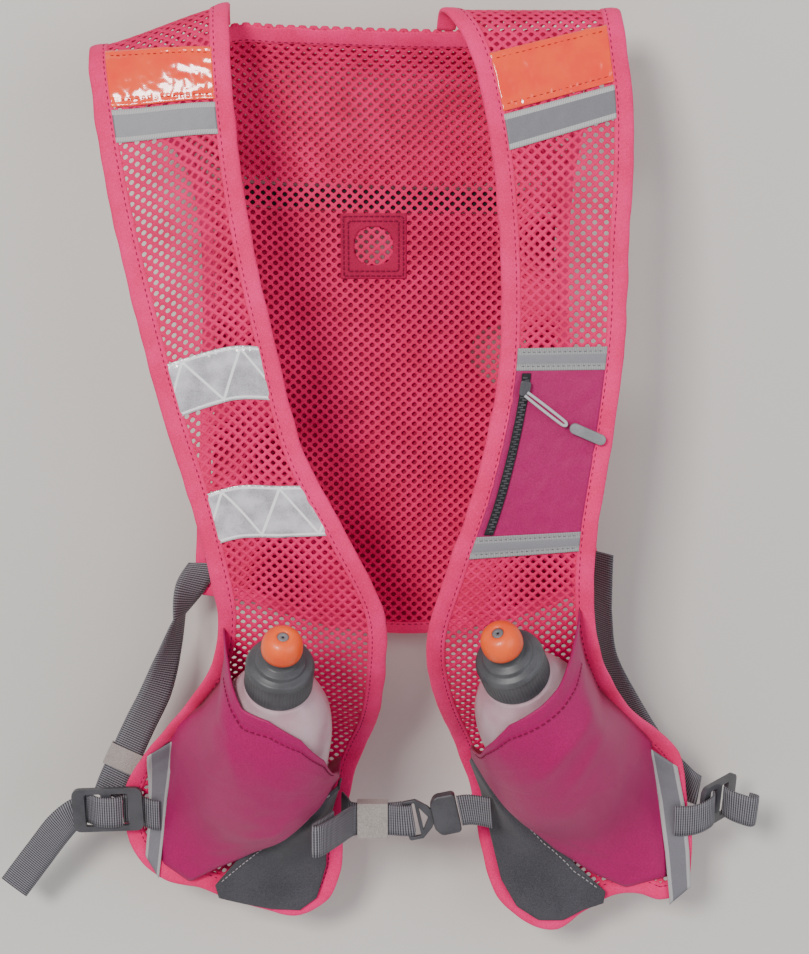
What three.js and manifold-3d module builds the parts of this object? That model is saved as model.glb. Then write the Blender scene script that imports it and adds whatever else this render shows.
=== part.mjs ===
import * as THREE from "three";
import { mergeVertices } from "three/addons/utils/BufferGeometryUtils.js";
import Module from "manifold-3d";

const wasm = await Module();
wasm.setup();

// Overall sizes, mm. The front of the vest faces -Y, the wearer's right side is on -X,
// and the shoulders hang from the height z = 0.
const drop = 500; // cloth from the top of a shoulder down to the hem of a bottle pocket
const halfSpan = 140; // centre to the arm edge of a shoulder
const gap = 0.35; // air between neighbouring pieces
const meshWall = 1.2; // knitted mesh
const bindingWall = 2.4; // doubled tape round every edge
const bindingWidth = 10;
const backBindingWidth = 7;
const clothWall = 1.1; // stretch cloth of the pockets
const tapeWall = 1; // reflective and vinyl tapes
const webbingWidth = 18;
const webbingWall = 1.6;
const crease = -14; // the shoulder seam lies this far behind the top of the shoulder
const seamGap = 0.75; // between edges that are sewn side by side

// Heights above the inner face of the mesh
const overMesh = meshWall + gap;
const overBinding = bindingWall + gap;

// Side view of the cloth from the back hem over the shoulder to the front hem, shares of drop
const profile = [
  { along: -0.72, depth: 0.05, height: -0.708 },
  { along: -0.52, depth: 0.062, height: -0.508 },
  { along: -0.32, depth: 0.066, height: -0.308 },
  { along: -0.16, depth: 0.058, height: -0.149 },
  { along: -0.08, depth: 0.048, height: -0.07 },
  { along: -0.04, depth: 0.031, height: -0.034 },
  { along: -0.018, depth: 0.014, height: -0.007 },
  { along: 0, depth: 0, height: 0 },
  { along: 0.018, depth: -0.016, height: -0.005 },
  { along: 0.048, depth: -0.035, height: -0.026 },
  { along: 0.1, depth: -0.052, height: -0.074 },
  { along: 0.2, depth: -0.07, height: -0.172 },
  { along: 0.4, depth: -0.094, height: -0.37 },
  { along: 0.58, depth: -0.106, height: -0.55 },
  { along: 0.68, depth: -0.092, height: -0.65 },
  { along: 0.728, depth: -0.074, height: -0.696 },
  { along: 0.784, depth: -0.044, height: -0.746 },
  { along: 0.854, depth: -0.004, height: -0.804 },
  { along: 0.92, depth: 0.004, height: -0.87 },
  { along: 0.98, depth: -0.008, height: -0.93 },
  { along: 1.1, depth: -0.03, height: -1.048 },
];

// How far each place across the shoulders hangs above or below the profile, mm
const slope = [
  { across: -1.5, lift: -24 },
  { across: -1, lift: -18.5 },
  { across: -0.5, lift: 3.4 },
  { across: -0.3, lift: 3 },
  { across: 0.3, lift: 0.7 },
  { across: 1.4, lift: 0.7 },
];

// Outline of each front panel, from the arm side of the shoulder down to the hem and
// up the neck side: across as a share of halfSpan, along as a share of drop
const outlines = {
  left: {
    lobe: 14.6,
    corner: 20.3,
    points: [
      { across: -1.02, along: crease / drop },
      { across: -1.011, along: 0.016 },
      { across: -0.986, along: 0.076 },
      { across: -0.939, along: 0.165 },
      { across: -0.85, along: 0.291 },
      { across: -0.74, along: 0.425 },
      { across: -0.636, along: 0.533 },
      { across: -0.567, along: 0.632 },
      { across: -0.56, along: 0.664 },
      { across: -0.591, along: 0.709 },
      { across: -0.672, along: 0.747 },
      { across: -0.796, along: 0.788 },
      { across: -0.939, along: 0.845 },
      { across: -1.006, along: 0.89 },
      { across: -0.97, along: 0.95 },
      { across: -0.832, along: 0.996 },
      { across: -0.691, along: 1.018 },
      { across: -0.522, along: 1.05 },
      { across: -0.309, along: 1.065 },
      { across: -0.173, along: 1.048 },
      { across: -0.111, along: 1.01 },
      { across: -0.1, along: 0.96 },
      { across: -0.052, along: 0.897 },
      { across: 0.031, along: 0.824 },
      { across: 0.074, along: 0.733 },
      { across: 0.072, along: 0.649 },
      { across: -0.072, along: 0.559 },
      { across: -0.223, along: 0.476 },
      { across: -0.322, along: 0.368 },
      { across: -0.403, along: 0.264 },
      { across: -0.444, along: 0.189 },
      { across: -0.475, along: 0.1 },
      { across: -0.493, along: 0 },
      { across: -0.498, along: crease / drop },
    ],
  },
  right: {
    lobe: 16.6,
    corner: 23.6,
    points: [
      { across: 0.938, along: crease / drop },
      { across: 0.941, along: 0 },
      { across: 0.958, along: 0.062 },
      { across: 0.979, along: 0.115 },
      { across: 0.981, along: 0.187 },
      { across: 0.969, along: 0.26 },
      { across: 0.96, along: 0.358 },
      { across: 0.922, along: 0.456 },
      { across: 0.87, along: 0.561 },
      { across: 0.864, along: 0.623 },
      { across: 0.885, along: 0.677 },
      { across: 0.946, along: 0.73 },
      { across: 1.046, along: 0.786 },
      { across: 1.184, along: 0.836 },
      { across: 1.271, along: 0.871 },
      { across: 1.31, along: 0.93 },
      { across: 1.33, along: 0.985 },
      { across: 1.3, along: 1.031 },
      { across: 1.2, along: 1.042 },
      { across: 1.118, along: 1.035 },
      { across: 1.016, along: 1.036 },
      { across: 0.892, along: 1.055 },
      { across: 0.769, along: 1.077 },
      { across: 0.637, along: 1.066 },
      { across: 0.53, along: 1.037 },
      { across: 0.469, along: 0.988 },
      { across: 0.423, along: 0.916 },
      { across: 0.351, along: 0.852 },
      { across: 0.249, along: 0.739 },
      { across: 0.236, along: 0.677 },
      { across: 0.306, along: 0.601 },
      { across: 0.412, along: 0.507 },
      { across: 0.487, along: 0.407 },
      { across: 0.504, along: 0.337 },
      { across: 0.487, along: 0.218 },
      { across: 0.446, along: 0.131 },
      { across: 0.381, along: 0.059 },
      { across: 0.284, along: 0 },
      { across: 0.27, along: crease / drop },
    ],
  },
};

// Back panel: where its two side edges run
const backRows = [
  { along: crease / drop, left: -1.02, right: 0.938 },
  { along: -0.08, left: -0.9, right: 0.9 },
  { along: -0.15, left: -0.72, right: 0.83 },
  { along: -0.22, left: -0.655, right: 0.8 },
  { along: -0.32, left: -0.65, right: 0.8 },
  { along: -0.42, left: -0.665, right: 0.825 },
  { along: -0.52, left: -0.685, right: 0.87 },
  { along: -0.6, left: -0.7, right: 0.93 },
  { along: -0.646, left: -0.705, right: 0.95 },
];
const hemSag = 30;

// Tapes across the front panels: where each meets the arm-side and the neck-side binding
const tapes = [
  { name: "left_shoulder_tape", side: "left", arm: [0.022, 0.088], neck: [0.062, 0.116], colour: "vinyl" },
  { name: "left_shoulder_reflector", side: "left", arm: [0.091, 0.126], neck: [0.119, 0.152], colour: "reflector" },
  { name: "left_chest_tape_upper", side: "left", arm: [0.368, 0.427], neck: [0.37, 0.424], colour: "clear" },
  { name: "left_chest_tape_lower", side: "left", arm: [0.516, 0.572], neck: [0.512, 0.564], colour: "clear" },
  { name: "right_shoulder_tape", side: "right", arm: [0.034, 0.095], neck: [0.066, 0.125], colour: "vinyl" },
  { name: "right_shoulder_reflector", side: "right", arm: [0.098, 0.132], neck: [0.128, 0.164], colour: "reflector" },
  { name: "zip_pocket_top_tape", side: "right", arm: [0.363, 0.387], neck: [0.365, 0.388], colour: "reflector" },
  { name: "zip_pocket_bottom_tape", side: "right", arm: [0.556, 0.577], neck: [0.562, 0.586], colour: "reflector" },
];
const zipPocket = { arm: [0.3895, 0.5535], neck: [0.3905, 0.5595], teethWidth: 4.5 };

// Bottles, mm: where the middle of the cap is, and how the bottle leans
const bottleLength = 122;
const bottleRadius = 31;
const bottleWall = 1.5;
const capHeight = 120;
const bottles = {
  left: { cap: [-42, -100, -321], lean: [0.11, -0.566, 0.817], clearance: 1.7 },
  right: { cap: [74, -107, -315], lean: [-0.28, -0.585, 0.76], clearance: 2.7 },
};

// Pocket cloth seen from the front: x as a share of halfSpan, z as a share of drop
const pockets = {
  left: {
    opening: [
      { x: -0.53, z: -0.628 },
      { x: -0.479, z: -0.66 },
      { x: -0.436, z: -0.68 },
      { x: -0.336, z: -0.69 },
      { x: -0.221, z: -0.716 },
      { x: -0.143, z: -0.752 },
      { x: -0.107, z: -0.808 },
    ],
    armEdge: [
      { x: -0.54, z: -0.634 },
      { x: -0.536, z: -0.66 },
      { x: -0.564, z: -0.702 },
      { x: -0.643, z: -0.734 },
      { x: -0.745, z: -0.768 },
      { x: -0.757, z: -0.79 },
      { x: -0.8, z: -0.872 },
      { x: -0.824, z: -0.92 },
      { x: -0.838, z: -0.966 },
      { x: -0.72, z: -0.98 },
    ],
    seam: [
      { x: -0.62, z: -0.97 },
      { x: -0.43, z: -0.924 },
      { x: -0.3, z: -0.886 },
      { x: -0.186, z: -0.84 },
      { x: -0.107, z: -0.82 },
    ],
    hem: [
      { x: -0.61, z: -0.984 },
      { x: -0.51, z: -0.99 },
      { x: -0.4, z: -0.996 },
      { x: -0.28, z: -0.998 },
      { x: -0.21, z: -0.984 },
      { x: -0.17, z: -0.946 },
      { x: -0.165, z: -0.9 },
      { x: -0.12, z: -0.85 },
      { x: -0.098, z: -0.828 },
    ],
    reflector: [
      { left: -0.885, leftZ: -0.812, right: -0.768, rightZ: -0.788 },
      { left: -0.9, leftZ: -0.896, right: -0.82, rightZ: -0.872 },
      { left: -0.914, leftZ: -0.94, right: -0.858, rightZ: -0.964 },
    ],
  },
  right: {
    opening: [
      { x: 0.81, z: -0.606 },
      { x: 0.764, z: -0.63 },
      { x: 0.707, z: -0.65 },
      { x: 0.636, z: -0.668 },
      { x: 0.521, z: -0.692 },
      { x: 0.44, z: -0.728 },
      { x: 0.407, z: -0.782 },
    ],
    armEdge: [
      { x: 0.815, z: -0.612 },
      { x: 0.812, z: -0.634 },
      { x: 0.84, z: -0.668 },
      { x: 0.907, z: -0.714 },
      { x: 1.03, z: -0.762 },
      { x: 1.115, z: -0.798 },
      { x: 1.166, z: -0.872 },
      { x: 1.196, z: -0.932 },
      { x: 1.218, z: -0.99 },
      { x: 1.06, z: -0.984 },
    ],
    seam: [
      { x: 0.97, z: -0.978 },
      { x: 0.83, z: -0.952 },
      { x: 0.69, z: -0.912 },
      { x: 0.58, z: -0.868 },
      { x: 0.49, z: -0.83 },
      { x: 0.415, z: -0.8 },
    ],
    hem: [
      { x: 0.965, z: -0.99 },
      { x: 0.88, z: -0.998 },
      { x: 0.8, z: -1.01 },
      { x: 0.7, z: -1.01 },
      { x: 0.61, z: -0.994 },
      { x: 0.545, z: -0.962 },
      { x: 0.5, z: -0.91 },
      { x: 0.455, z: -0.85 },
      { x: 0.408, z: -0.81 },
    ],
    reflector: [
      { left: 1.136, leftZ: -0.806, right: 1.26, rightZ: -0.832 },
      { left: 1.187, leftZ: -0.872, right: 1.295, rightZ: -0.878 },
      { left: 1.216, leftZ: -0.932, right: 1.315, rightZ: -0.93 },
      { left: 1.238, leftZ: -0.992, right: 1.322, rightZ: -0.972 },
    ],
  },
};

const clamp = THREE.MathUtils.clamp;
const lerp = THREE.MathUtils.lerp;

// Smooth reading of a table whose rows are in the order of column key
function reading(rows, key) {
  const names = Object.keys(rows[0]).filter((name) => name !== key);
  const slopeAt = (i, name) => {
    const a = rows[Math.max(i - 1, 0)];
    const b = rows[Math.min(i + 1, rows.length - 1)];
    return (b[name] - a[name]) / (b[key] - a[key]);
  };
  return (value) => {
    const above = rows.findIndex((row) => row[key] > value);
    const i = above < 0 ? rows.length - 2 : Math.max(above - 1, 0);
    const a = rows[i];
    const b = rows[i + 1];
    const span = b[key] - a[key];
    const t = clamp((value - a[key]) / span, 0, 1);
    const out = {};
    for (const name of names) {
      const bend = t * t * (3 - 2 * t);
      const from = slopeAt(i, name) * span * (t * t * t - 2 * t * t + t);
      const to = slopeAt(i + 1, name) * span * (t * t * t - t * t);
      out[name] = a[name] * (1 - bend) + b[name] * bend + from + to;
    }
    return out;
  };
}

const profileAt = reading(profile, "along");
const slopeAt = reading(slope, "across");
const backAt = reading(backRows.toReversed(), "along");

// A place on the cloth: x in mm, along in mm from the top of the shoulder
function onCloth(x, along) {
  const side = profileAt(along / drop);
  const lift = slopeAt(x / halfSpan).lift;
  return new THREE.Vector3(x, side.depth * drop, side.height * drop + lift);
}

// Depth of the front cloth behind a place seen from the front
function clothDepth(x, z) {
  let low = 0.05 * drop;
  let high = 1.1 * drop;
  for (let step = 0; step < 24; step++) {
    const middle = (low + high) / 2;
    if (onCloth(x, middle).z > z) low = middle;
    else high = middle;
  }
  return onCloth(x, low).y;
}

// A closed solid between two heights over a grid of points; rows[j][i], i to the right, j down
function gridSolid(rows, low, high) {
  const down = rows.length;
  const wide = rows[0].length;
  const at = (i, j) => rows[clamp(j, 0, down - 1)][clamp(i, 0, wide - 1)];
  const position = [];
  for (const height of [low, high]) {
    for (let j = 0; j < down; j++) {
      for (let i = 0; i < wide; i++) {
        const right = at(i + 1, j).clone().sub(at(i - 1, j));
        const below = at(i, j + 1).clone().sub(at(i, j - 1));
        const normal = below.cross(right).normalize();
        const lift = typeof height === "function" ? height(i, j) : height;
        position.push(...at(i, j).clone().addScaledVector(normal, lift));
      }
    }
  }
  const index = [];
  const id = (i, j, layer) => layer * down * wide + j * wide + i;
  const quad = (a, b, c, d) => index.push(a, b, c, a, c, d);
  for (let j = 0; j < down - 1; j++) {
    for (let i = 0; i < wide - 1; i++) {
      quad(id(i, j, 1), id(i, j + 1, 1), id(i + 1, j + 1, 1), id(i + 1, j, 1));
      quad(id(i, j, 0), id(i + 1, j, 0), id(i + 1, j + 1, 0), id(i, j + 1, 0));
    }
  }
  for (let j = 0; j < down - 1; j++) {
    quad(id(0, j, 0), id(0, j + 1, 0), id(0, j + 1, 1), id(0, j, 1));
    quad(id(wide - 1, j, 1), id(wide - 1, j + 1, 1), id(wide - 1, j + 1, 0), id(wide - 1, j, 0));
  }
  for (let i = 0; i < wide - 1; i++) {
    quad(id(i, 0, 0), id(i, 0, 1), id(i + 1, 0, 1), id(i + 1, 0, 0));
    quad(id(i, down - 1, 1), id(i, down - 1, 0), id(i + 1, down - 1, 0), id(i + 1, down - 1, 1));
  }
  return outward(new THREE.BufferGeometry()
    .setAttribute("position", new THREE.Float32BufferAttribute(position, 3))
    .setIndex(index));
}

// The geometry with shared corners, no collapsed faces, and its faces turned outward
function outward(geometry) {
  geometry.deleteAttribute("normal");
  geometry.deleteAttribute("uv");
  const merged = mergeVertices(geometry, 1e-3);
  const place = merged.getAttribute("position");
  const corner = (i) => new THREE.Vector3().fromBufferAttribute(place, i);
  const faces = [];
  let volume = 0;
  for (let f = 0; f < merged.index.count; f += 3) {
    const [a, b, c] = [0, 1, 2].map((k) => merged.index.getX(f + k));
    if (a === b || b === c || a === c) continue;
    faces.push([a, b, c]);
    volume += corner(a).dot(corner(b).cross(corner(c)));
  }
  merged.setIndex(faces.flatMap(([a, b, c]) => (volume < 0 ? [a, c, b] : [a, b, c])));
  return merged;
}

function solidOf(geometry) {
  return new wasm.Manifold(new wasm.Mesh({
    numProp: 3,
    vertProperties: new Float32Array(geometry.attributes.position.array),
    triVerts: new Uint32Array(geometry.index.array),
  }));
}

function geometryOf(solid) {
  const mesh = solid.getMesh();
  return new THREE.BufferGeometry()
    .setAttribute("position", new THREE.BufferAttribute(mesh.vertProperties, 3))
    .setIndex(new THREE.BufferAttribute(mesh.triVerts, 1));
}

const cut = (geometry, tool) => geometryOf(solidOf(geometry).subtract(solidOf(tool)));

// A smooth plane line through (x, y) pairs with reads at a point number or at a share
function planeLine(points) {
  const curve = new THREE.CatmullRomCurve3(
    points.map(([x, y]) => new THREE.Vector3(x, y, 0)), false, "centripetal");
  const last = points.length - 1;
  const place = (number) => curve.getPoint(clamp(number / last, 0, 1));
  const inset = (number, width) => {
    const along = curve.getTangent(clamp(number / last, 0, 1));
    const point = place(number);
    return [point.x - along.y * width, Math.max(point.y + along.x * width, crease)];
  };
  return { last, place, inset };
}

const group = new THREE.Group();
const colours = {
  mesh: { color: 0xf0246a, roughness: 0.85 },
  pocketBehind: { color: 0xf02a6c, roughness: 0.85 },
  binding: { color: 0xf0487e, roughness: 0.75 },
  cloth: { color: 0xb82468, roughness: 0.7 },
  panel: { color: 0x57575c, roughness: 0.7 },
  reflector: { color: 0x77757c, roughness: 0.45 },
  vinyl: { color: 0xf0502c, roughness: 0.2 },
  clear: { color: 0xdcdce2, roughness: 0.15 },
  band: { color: 0x2b2128, roughness: 0.9 },
  webbing: { color: 0x6e7074, roughness: 0.8 },
  plastic: { color: 0x414046, roughness: 0.4 },
  keeper: { color: 0xa59b96, roughness: 0.7 },
  cord: { color: 0xb9b5b3, roughness: 0.8 },
  cap: { color: 0x37353a, roughness: 0.35 },
  valve: { color: 0xf0823c, roughness: 0.4 },
  bottle: { color: 0xd9cfd4, roughness: 0.35 },
};

function add(name, geometry, colour) {
  const mesh = new THREE.Mesh(geometry, new THREE.MeshStandardMaterial(colours[colour]));
  mesh.name = name;
  group.add(mesh);
}

// Front panels and their bindings. The outline runs round each panel, so a positive
// inset on the left side and a negative one on the right side both lead inwards.
const lines = {};
for (const side of ["left", "right"]) {
  const shape = outlines[side];
  const line = planeLine(shape.points.map((row) => [row.across * halfSpan, row.along * drop]));
  const inward = side === "left" ? -1 : 1;
  const edge = (number, width) => line.inset(number, width * inward);
  lines[side] = { edge, last: line.last, lobe: shape.lobe, corner: shape.corner };
  const margin = bindingWidth + seamGap;

  // Rows lie closer together near the shoulder, where the cloth bends most
  const ordered = (row) => (side === "left" ? row : row.toReversed());
  const strip = (from, to, count) => {
    const rows = [];
    for (let j = 0; j <= count; j++) {
      const number = lerp(from, to, (j / count) ** 1.2);
      rows.push(ordered([edge(number, 0), edge(number, bindingWidth)].map(([x, s]) => onCloth(x, s))));
    }
    return rows;
  };
  const tip = side === "left" ? 13 : 15;
  add(side + "_arm_binding", gridSolid(strip(0, tip - 0.08, 30), -gap, bindingWall - gap), "binding");
  add(side + "_neck_binding", gridSolid(strip(line.last, tip + 0.08, 44), gap - bindingWall, gap), "binding");

  const across = 5;
  const down = 28;
  const rows = [];
  for (let j = 0; j <= down; j++) {
    const share = (j / down) ** 1.2;
    const arm = edge(share * shape.lobe, margin);
    const neck = edge(lerp(line.last, shape.corner, share), margin);
    const row = [];
    for (let i = 0; i <= across; i++) {
      const u = i / across;
      let [x, s] = [lerp(arm[0], neck[0], u), lerp(arm[1], neck[1], u)];
      const armEnd = edge(shape.lobe, margin);
      const neckEnd = edge(shape.corner, margin);
      const hem = edge(lerp(shape.lobe, shape.corner, u), margin + 2.6);
      const fade = Math.max(0, (share - 0.72) / 0.28) ** 1.5;
      x += fade * (hem[0] - lerp(armEnd[0], neckEnd[0], u));
      s += fade * (hem[1] - lerp(armEnd[1], neckEnd[1], u));
      row.push(onCloth(x, s));
    }
    rows.push(ordered(row));
  }
  add(side + "_front_panel", gridSolid(rows, 0, meshWall), "mesh");
}

// The place on one edge of a front panel, inside its binding, at a length down the cloth
function edgeAt(side, neckSide, along, width) {
  const { edge, last, lobe, corner } = lines[side];
  let low = neckSide ? last : 0;
  let high = neckSide ? corner : lobe;
  for (let step = 0; step < 30; step++) {
    const middle = (low + high) / 2;
    if (edge(middle, width)[1] < along * drop) low = middle;
    else high = middle;
  }
  return edge(low, width);
}

// Ruled grid between two lists of plane points, laid on the cloth
function ruled(first, second, across, place) {
  return first.map((a, j) => {
    const row = [];
    for (let i = 0; i <= across; i++) {
      row.push(place(lerp(a[0], second[j][0], i / across), lerp(a[1], second[j][1], i / across)));
    }
    return row;
  });
}

for (const tape of tapes) {
  const margin = bindingWidth + seamGap;
  const steps = tape.arm[1] - tape.arm[0] > 0.03 ? 5 : 2;
  const arm = [];
  const neck = [];
  for (let j = 0; j <= steps; j++) {
    arm.push(edgeAt(tape.side, false, lerp(tape.arm[0], tape.arm[1], j / steps), margin));
    neck.push(edgeAt(tape.side, true, lerp(tape.neck[0], tape.neck[1], j / steps), margin));
  }
  const rows = tape.side === "left" ? ruled(arm, neck, 4, onCloth) : ruled(neck, arm, 4, onCloth);
  const rise = tape.arm[0] < 0.06 ? overMesh + gap : overMesh;
  add(tape.name, gridSolid(rows, rise, rise + tapeWall), tape.colour);
}

// Zipped pocket on the right front panel: a flat cloth patch with the zipper along the neck side
{
  const steps = 12;
  const neck = [];
  const teeth = [];
  const arm = [];
  for (let j = 0; j <= steps; j++) {
    const side = edgeAt("right", true, lerp(...zipPocket.neck, j / steps), bindingWidth + seamGap);
    neck.push([side[0] + 1.5, side[1]]);
    teeth.push([side[0] + 1.5 + zipPocket.teethWidth, side[1]]);
    arm.push(edgeAt("right", false, lerp(...zipPocket.arm, j / steps), bindingWidth + seamGap));
  }
  const inner = teeth.map(([x, s]) => [x + gap, s]);
  add("zipper", gridSolid(ruled(neck, teeth, 1, onCloth), overMesh, overMesh + 1.4), "band");
  add("zip_pocket", gridSolid(ruled(inner, arm, 5, onCloth), overMesh, overMesh + clothWall), "cloth");
}

// Back panel with the armhole edges, neckline and hem
{
  const side = (along, name, width) => {
    const here = backAt(along);
    return here[name] * halfSpan + (name === "left" ? width : -width);
  };
  const bottom = backRows.at(-1).along;
  const sag = (u, share) => hemSag * 4 * u * (1 - u) * Math.max(0, (share - 0.4) / 0.6) ** 1.5;
  const backPoint = (u, share, width, ends) => {
    const top = (crease - seamGap) / drop;
    const along = lerp(top - ends[0] / drop, bottom + ends[1] / drop, share);
    const x = lerp(side(along, "left", width), side(along, "right", width), u);
    return onCloth(x, along * drop - sag(u, share));
  };
  const grid = (across, down, width, ends) => {
    const rows = [];
    for (let j = 0; j <= down; j++) {
      const row = [];
      for (let i = 0; i <= across; i++) row.push(backPoint(i / across, j / down, width, ends));
      rows.push(row);
    }
    return rows;
  };
  const margin = backBindingWidth + seamGap + gap;
  add("back_panel", gridSolid(grid(8, 14, margin, [margin, margin]), -meshWall, 0), "mesh");

  const edgeStrip = (place, count) => {
    const rows = [];
    for (let j = 0; j <= count; j++) rows.push(place(j / count));
    return rows;
  };
  const ends = [margin, margin];
  for (const name of ["left", "right"]) {
    const u = name === "left" ? 0 : 1;
    const rows = edgeStrip((share) => {
      const pair = [backPoint(u, share, 0, ends), backPoint(u, share, backBindingWidth, ends)];
      return name === "left" ? pair : pair.toReversed();
    }, 24);
    add("back_" + name + "_binding", gridSolid(rows, gap - bindingWall, gap), "binding");
  }
  const across = edgeStrip((share) => [backPoint(share, 0, 0, [-0.6, margin]), backPoint(share, 0, 0, [backBindingWidth, margin])], 24);
  add("neck_back_binding", gridSolid(across, gap - bindingWall, gap), "binding");
  const hem = edgeStrip((share) => [backPoint(share, 1, 0, [0, 0]), backPoint(share, 1, 0, [0, backBindingWidth])], 24);
  add("hem_binding", gridSolid(hem, gap - bindingWall, gap), "binding");

  // Second mesh layer over the upper back, behind the panel
  const layer = (columns, steps, from, to, inset, low, high) => {
    const rows = [];
    for (let j = 0; j <= steps; j++) {
      const row = [];
      const share = lerp(from, to, j / steps);
      for (let i = 0; i <= columns; i++) {
        row.push(backPoint(lerp(inset, 1 - inset, i / columns), share, margin, ends));
      }
      rows.push(row);
    }
    return gridSolid(rows, low, high);
  };
  const outer = -meshWall - 2 * gap;
  add("back_yoke", layer(8, 8, 0.02, 0.268, 0.02, outer - meshWall, outer), "mesh");
  add("back_pocket_band", layer(8, 2, 0.272, 0.312, 0.02, outer - clothWall - 0.4, outer), "band");

  // Windows in the pocket cloth that show through the panel
  const windows = [
    { x: 4, z: -124, radius: 10.5 },
    { x: 74, z: -185, radius: 16.5 },
  ];
  let pocket = layer(8, 10, 0.315, 1, 0.02, outer - clothWall, outer);
  for (const { x, z, radius } of windows) {
    const hole = new THREE.CylinderGeometry(radius, radius, 30, 20).translate(x, 32, z);
    pocket = cut(pocket, outward(hole));
  }
  add("back_pocket", pocket, "pocketBehind");
}

// How wide a bottle is at a height above its base, mm
const bottleShape = [
  { height: 0, radius: 27 },
  { height: 8, radius: 31 },
  { height: 64, radius: 31 },
  { height: 76, radius: 29.4 },
  { height: 88, radius: 25.5 },
  { height: 98, radius: 20.5 },
  { height: 106, radius: 14.4 },
  { height: bottleLength, radius: 14.4 },
];
const radiusAt = (height) => {
  const above = bottleShape.findIndex((row) => row.height > height);
  if (above < 1) return 17.6;
  const a = bottleShape[above - 1];
  const b = bottleShape[above];
  return lerp(a.radius, b.radius, (height - a.height) / (b.height - a.height));
};

for (const side of ["left", "right"]) {
  const lean = new THREE.Vector3(...bottles[side].lean).normalize();
  const cap = new THREE.Vector3(...bottles[side].cap);
  bottles[side].axis = lean;
  bottles[side].base = cap.clone().addScaledVector(lean, -capHeight);
}

// First depth, from the front, at which a bottle grown by some clearance is met
function bottleFront(side, x, z, grow) {
  const { axis, base } = bottles[side];
  for (let y = -170; y < 30; y += 1) {
    const from = new THREE.Vector3(x, y, z).sub(base);
    const height = from.dot(axis);
    if (height < -grow || height > 130) continue;
    const away = from.addScaledVector(axis, -height).length();
    const ring = (height > 104 ? 17.6 : radiusAt(Math.max(height, 0.01))) + grow;
    if (away < ring) return y;
  }
  return Infinity;
}

const turned = (geometry, side) => {
  const { axis, base } = bottles[side];
  const turn = new THREE.Quaternion().setFromUnitVectors(new THREE.Vector3(0, 1, 0), axis);
  return geometry.applyQuaternion(turn).translate(base.x, base.y, base.z);
};

// A ring or a plug turned about its axis from closed (radius, height) pairs
const spun = (pairs, segments) => {
  const points = [...pairs, pairs[0]].map(([r, h]) => new THREE.Vector2(r, h));
  return outward(new THREE.LatheGeometry(points, segments));
};

for (const side of ["left", "right"]) {
  const outer = bottleShape.map((row) => [row.radius, row.height]);
  const inner = bottleShape.map((row) => [row.radius - bottleWall, Math.max(row.height, bottleWall)]);
  const shell = [[0, 0], ...outer, ...inner.toReversed(), [0, bottleWall]];
  add(side + "_bottle", turned(spun(shell, 18), side), "bottle");

  const cap = [
    [15, 106.5], [17.6, 106.5], [17.6, 122], [16.6, 124], [13, 124.6], [12.6, 127], [9, 127.6],
    [8, 130], [8, 140], [3, 140], [3, 125.5], [12, 123], [15, 122.6],
  ];
  add(side + "_cap", turned(spun(cap, 18), side), "cap");

  const valve = [
    [8.4, 133.5], [10.2, 134.5], [10.4, 139], [9.6, 143], [7, 145.6], [3.6, 146.6], [3, 145.4],
    [3, 141.5], [8.4, 141.5],
  ];
  add(side + "_valve", turned(spun(valve, 16), side), "valve");
}

// Stretch cloth over each bottle. The depth of the cloth is relaxed on a square raster between
// its sewn edges and the bottle, so that it spans tight from one to the other.
function inside(polygon, x, z) {
  let odd = false;
  for (let i = 0, j = polygon.length - 1; i < polygon.length; j = i++) {
    const [xi, zi] = polygon[i];
    const [xj, zj] = polygon[j];
    if (zi > z !== zj > z && x < ((xj - xi) * (z - zi)) / (zj - zi) + xi) odd = !odd;
  }
  return odd;
}

const cell = 3.5;
const cellsWide = 44;
const cellsDown = 64;
const fields = {};
for (const side of ["left", "right"]) {
  const toPairs = (rows) => rows.map((row) => [row.x * halfSpan, row.z * drop]);
  const pocket = pockets[side];
  const opening = toPairs(pocket.opening);
  const raised = opening.map(([x, z], i) => [x, z + (i > 0 && i < opening.length - 1 ? 16 : 5)]);
  const polygon = [...raised, ...toPairs(pocket.hem).toReversed(), ...toPairs(pocket.armEdge).toReversed()];
  const x0 = (side === "left" ? -0.94 : 0.3) * halfSpan;
  const z0 = -1.03 * drop;
  const depth = [];
  const free = [];
  const floor = [];
  const openAbove = [];
  for (let j = 0; j < cellsDown; j++) {
    for (let i = 0; i < cellsWide; i++) {
      const x = x0 + i * cell;
      const z = z0 + j * cell;
      const rest = clothDepth(x, z) - overBinding;
      const front = Math.min(bottleFront(side, x, z, bottles[side].clearance), rest);
      depth.push(rest);
      floor.push(front);
      free.push(inside(polygon, x, z));
      const spansX = x > Math.min(raised[0][0], raised.at(-1)[0]) && x < Math.max(raised[0][0], raised.at(-1)[0]);
      openAbove.push(!free.at(-1) && spansX && z > -0.75 * drop);
    }
  }
  for (let round = 0; round < 500; round++) {
    for (let j = 1; j < cellsDown - 1; j++) {
      for (let i = 1; i < cellsWide - 1; i++) {
        const here = j * cellsWide + i;
        if (!free[here]) continue;
        const near = [here - 1, here + 1, here - cellsWide, here + cellsWide].filter((k) => !openAbove[k]);
        const mean = near.reduce((sum, k) => sum + depth[k], 0) / near.length;
        depth[here] = Math.min(mean, floor[here]);
      }
    }
  }
  fields[side] = (x, z) => {
    const u = clamp((x - x0) / cell, 0, cellsWide - 1.001);
    const v = clamp((z - z0) / cell, 0, cellsDown - 1.001);
    const [i, j] = [Math.floor(u), Math.floor(v)];
    const [a, b] = [u - i, v - j];
    const k = j * cellsWide + i;
    const low = lerp(depth[k], depth[k + 1], a);
    const high = lerp(depth[k + cellsWide], depth[k + cellsWide + 1], a);
    return lerp(low, high, b);
  };
}

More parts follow.
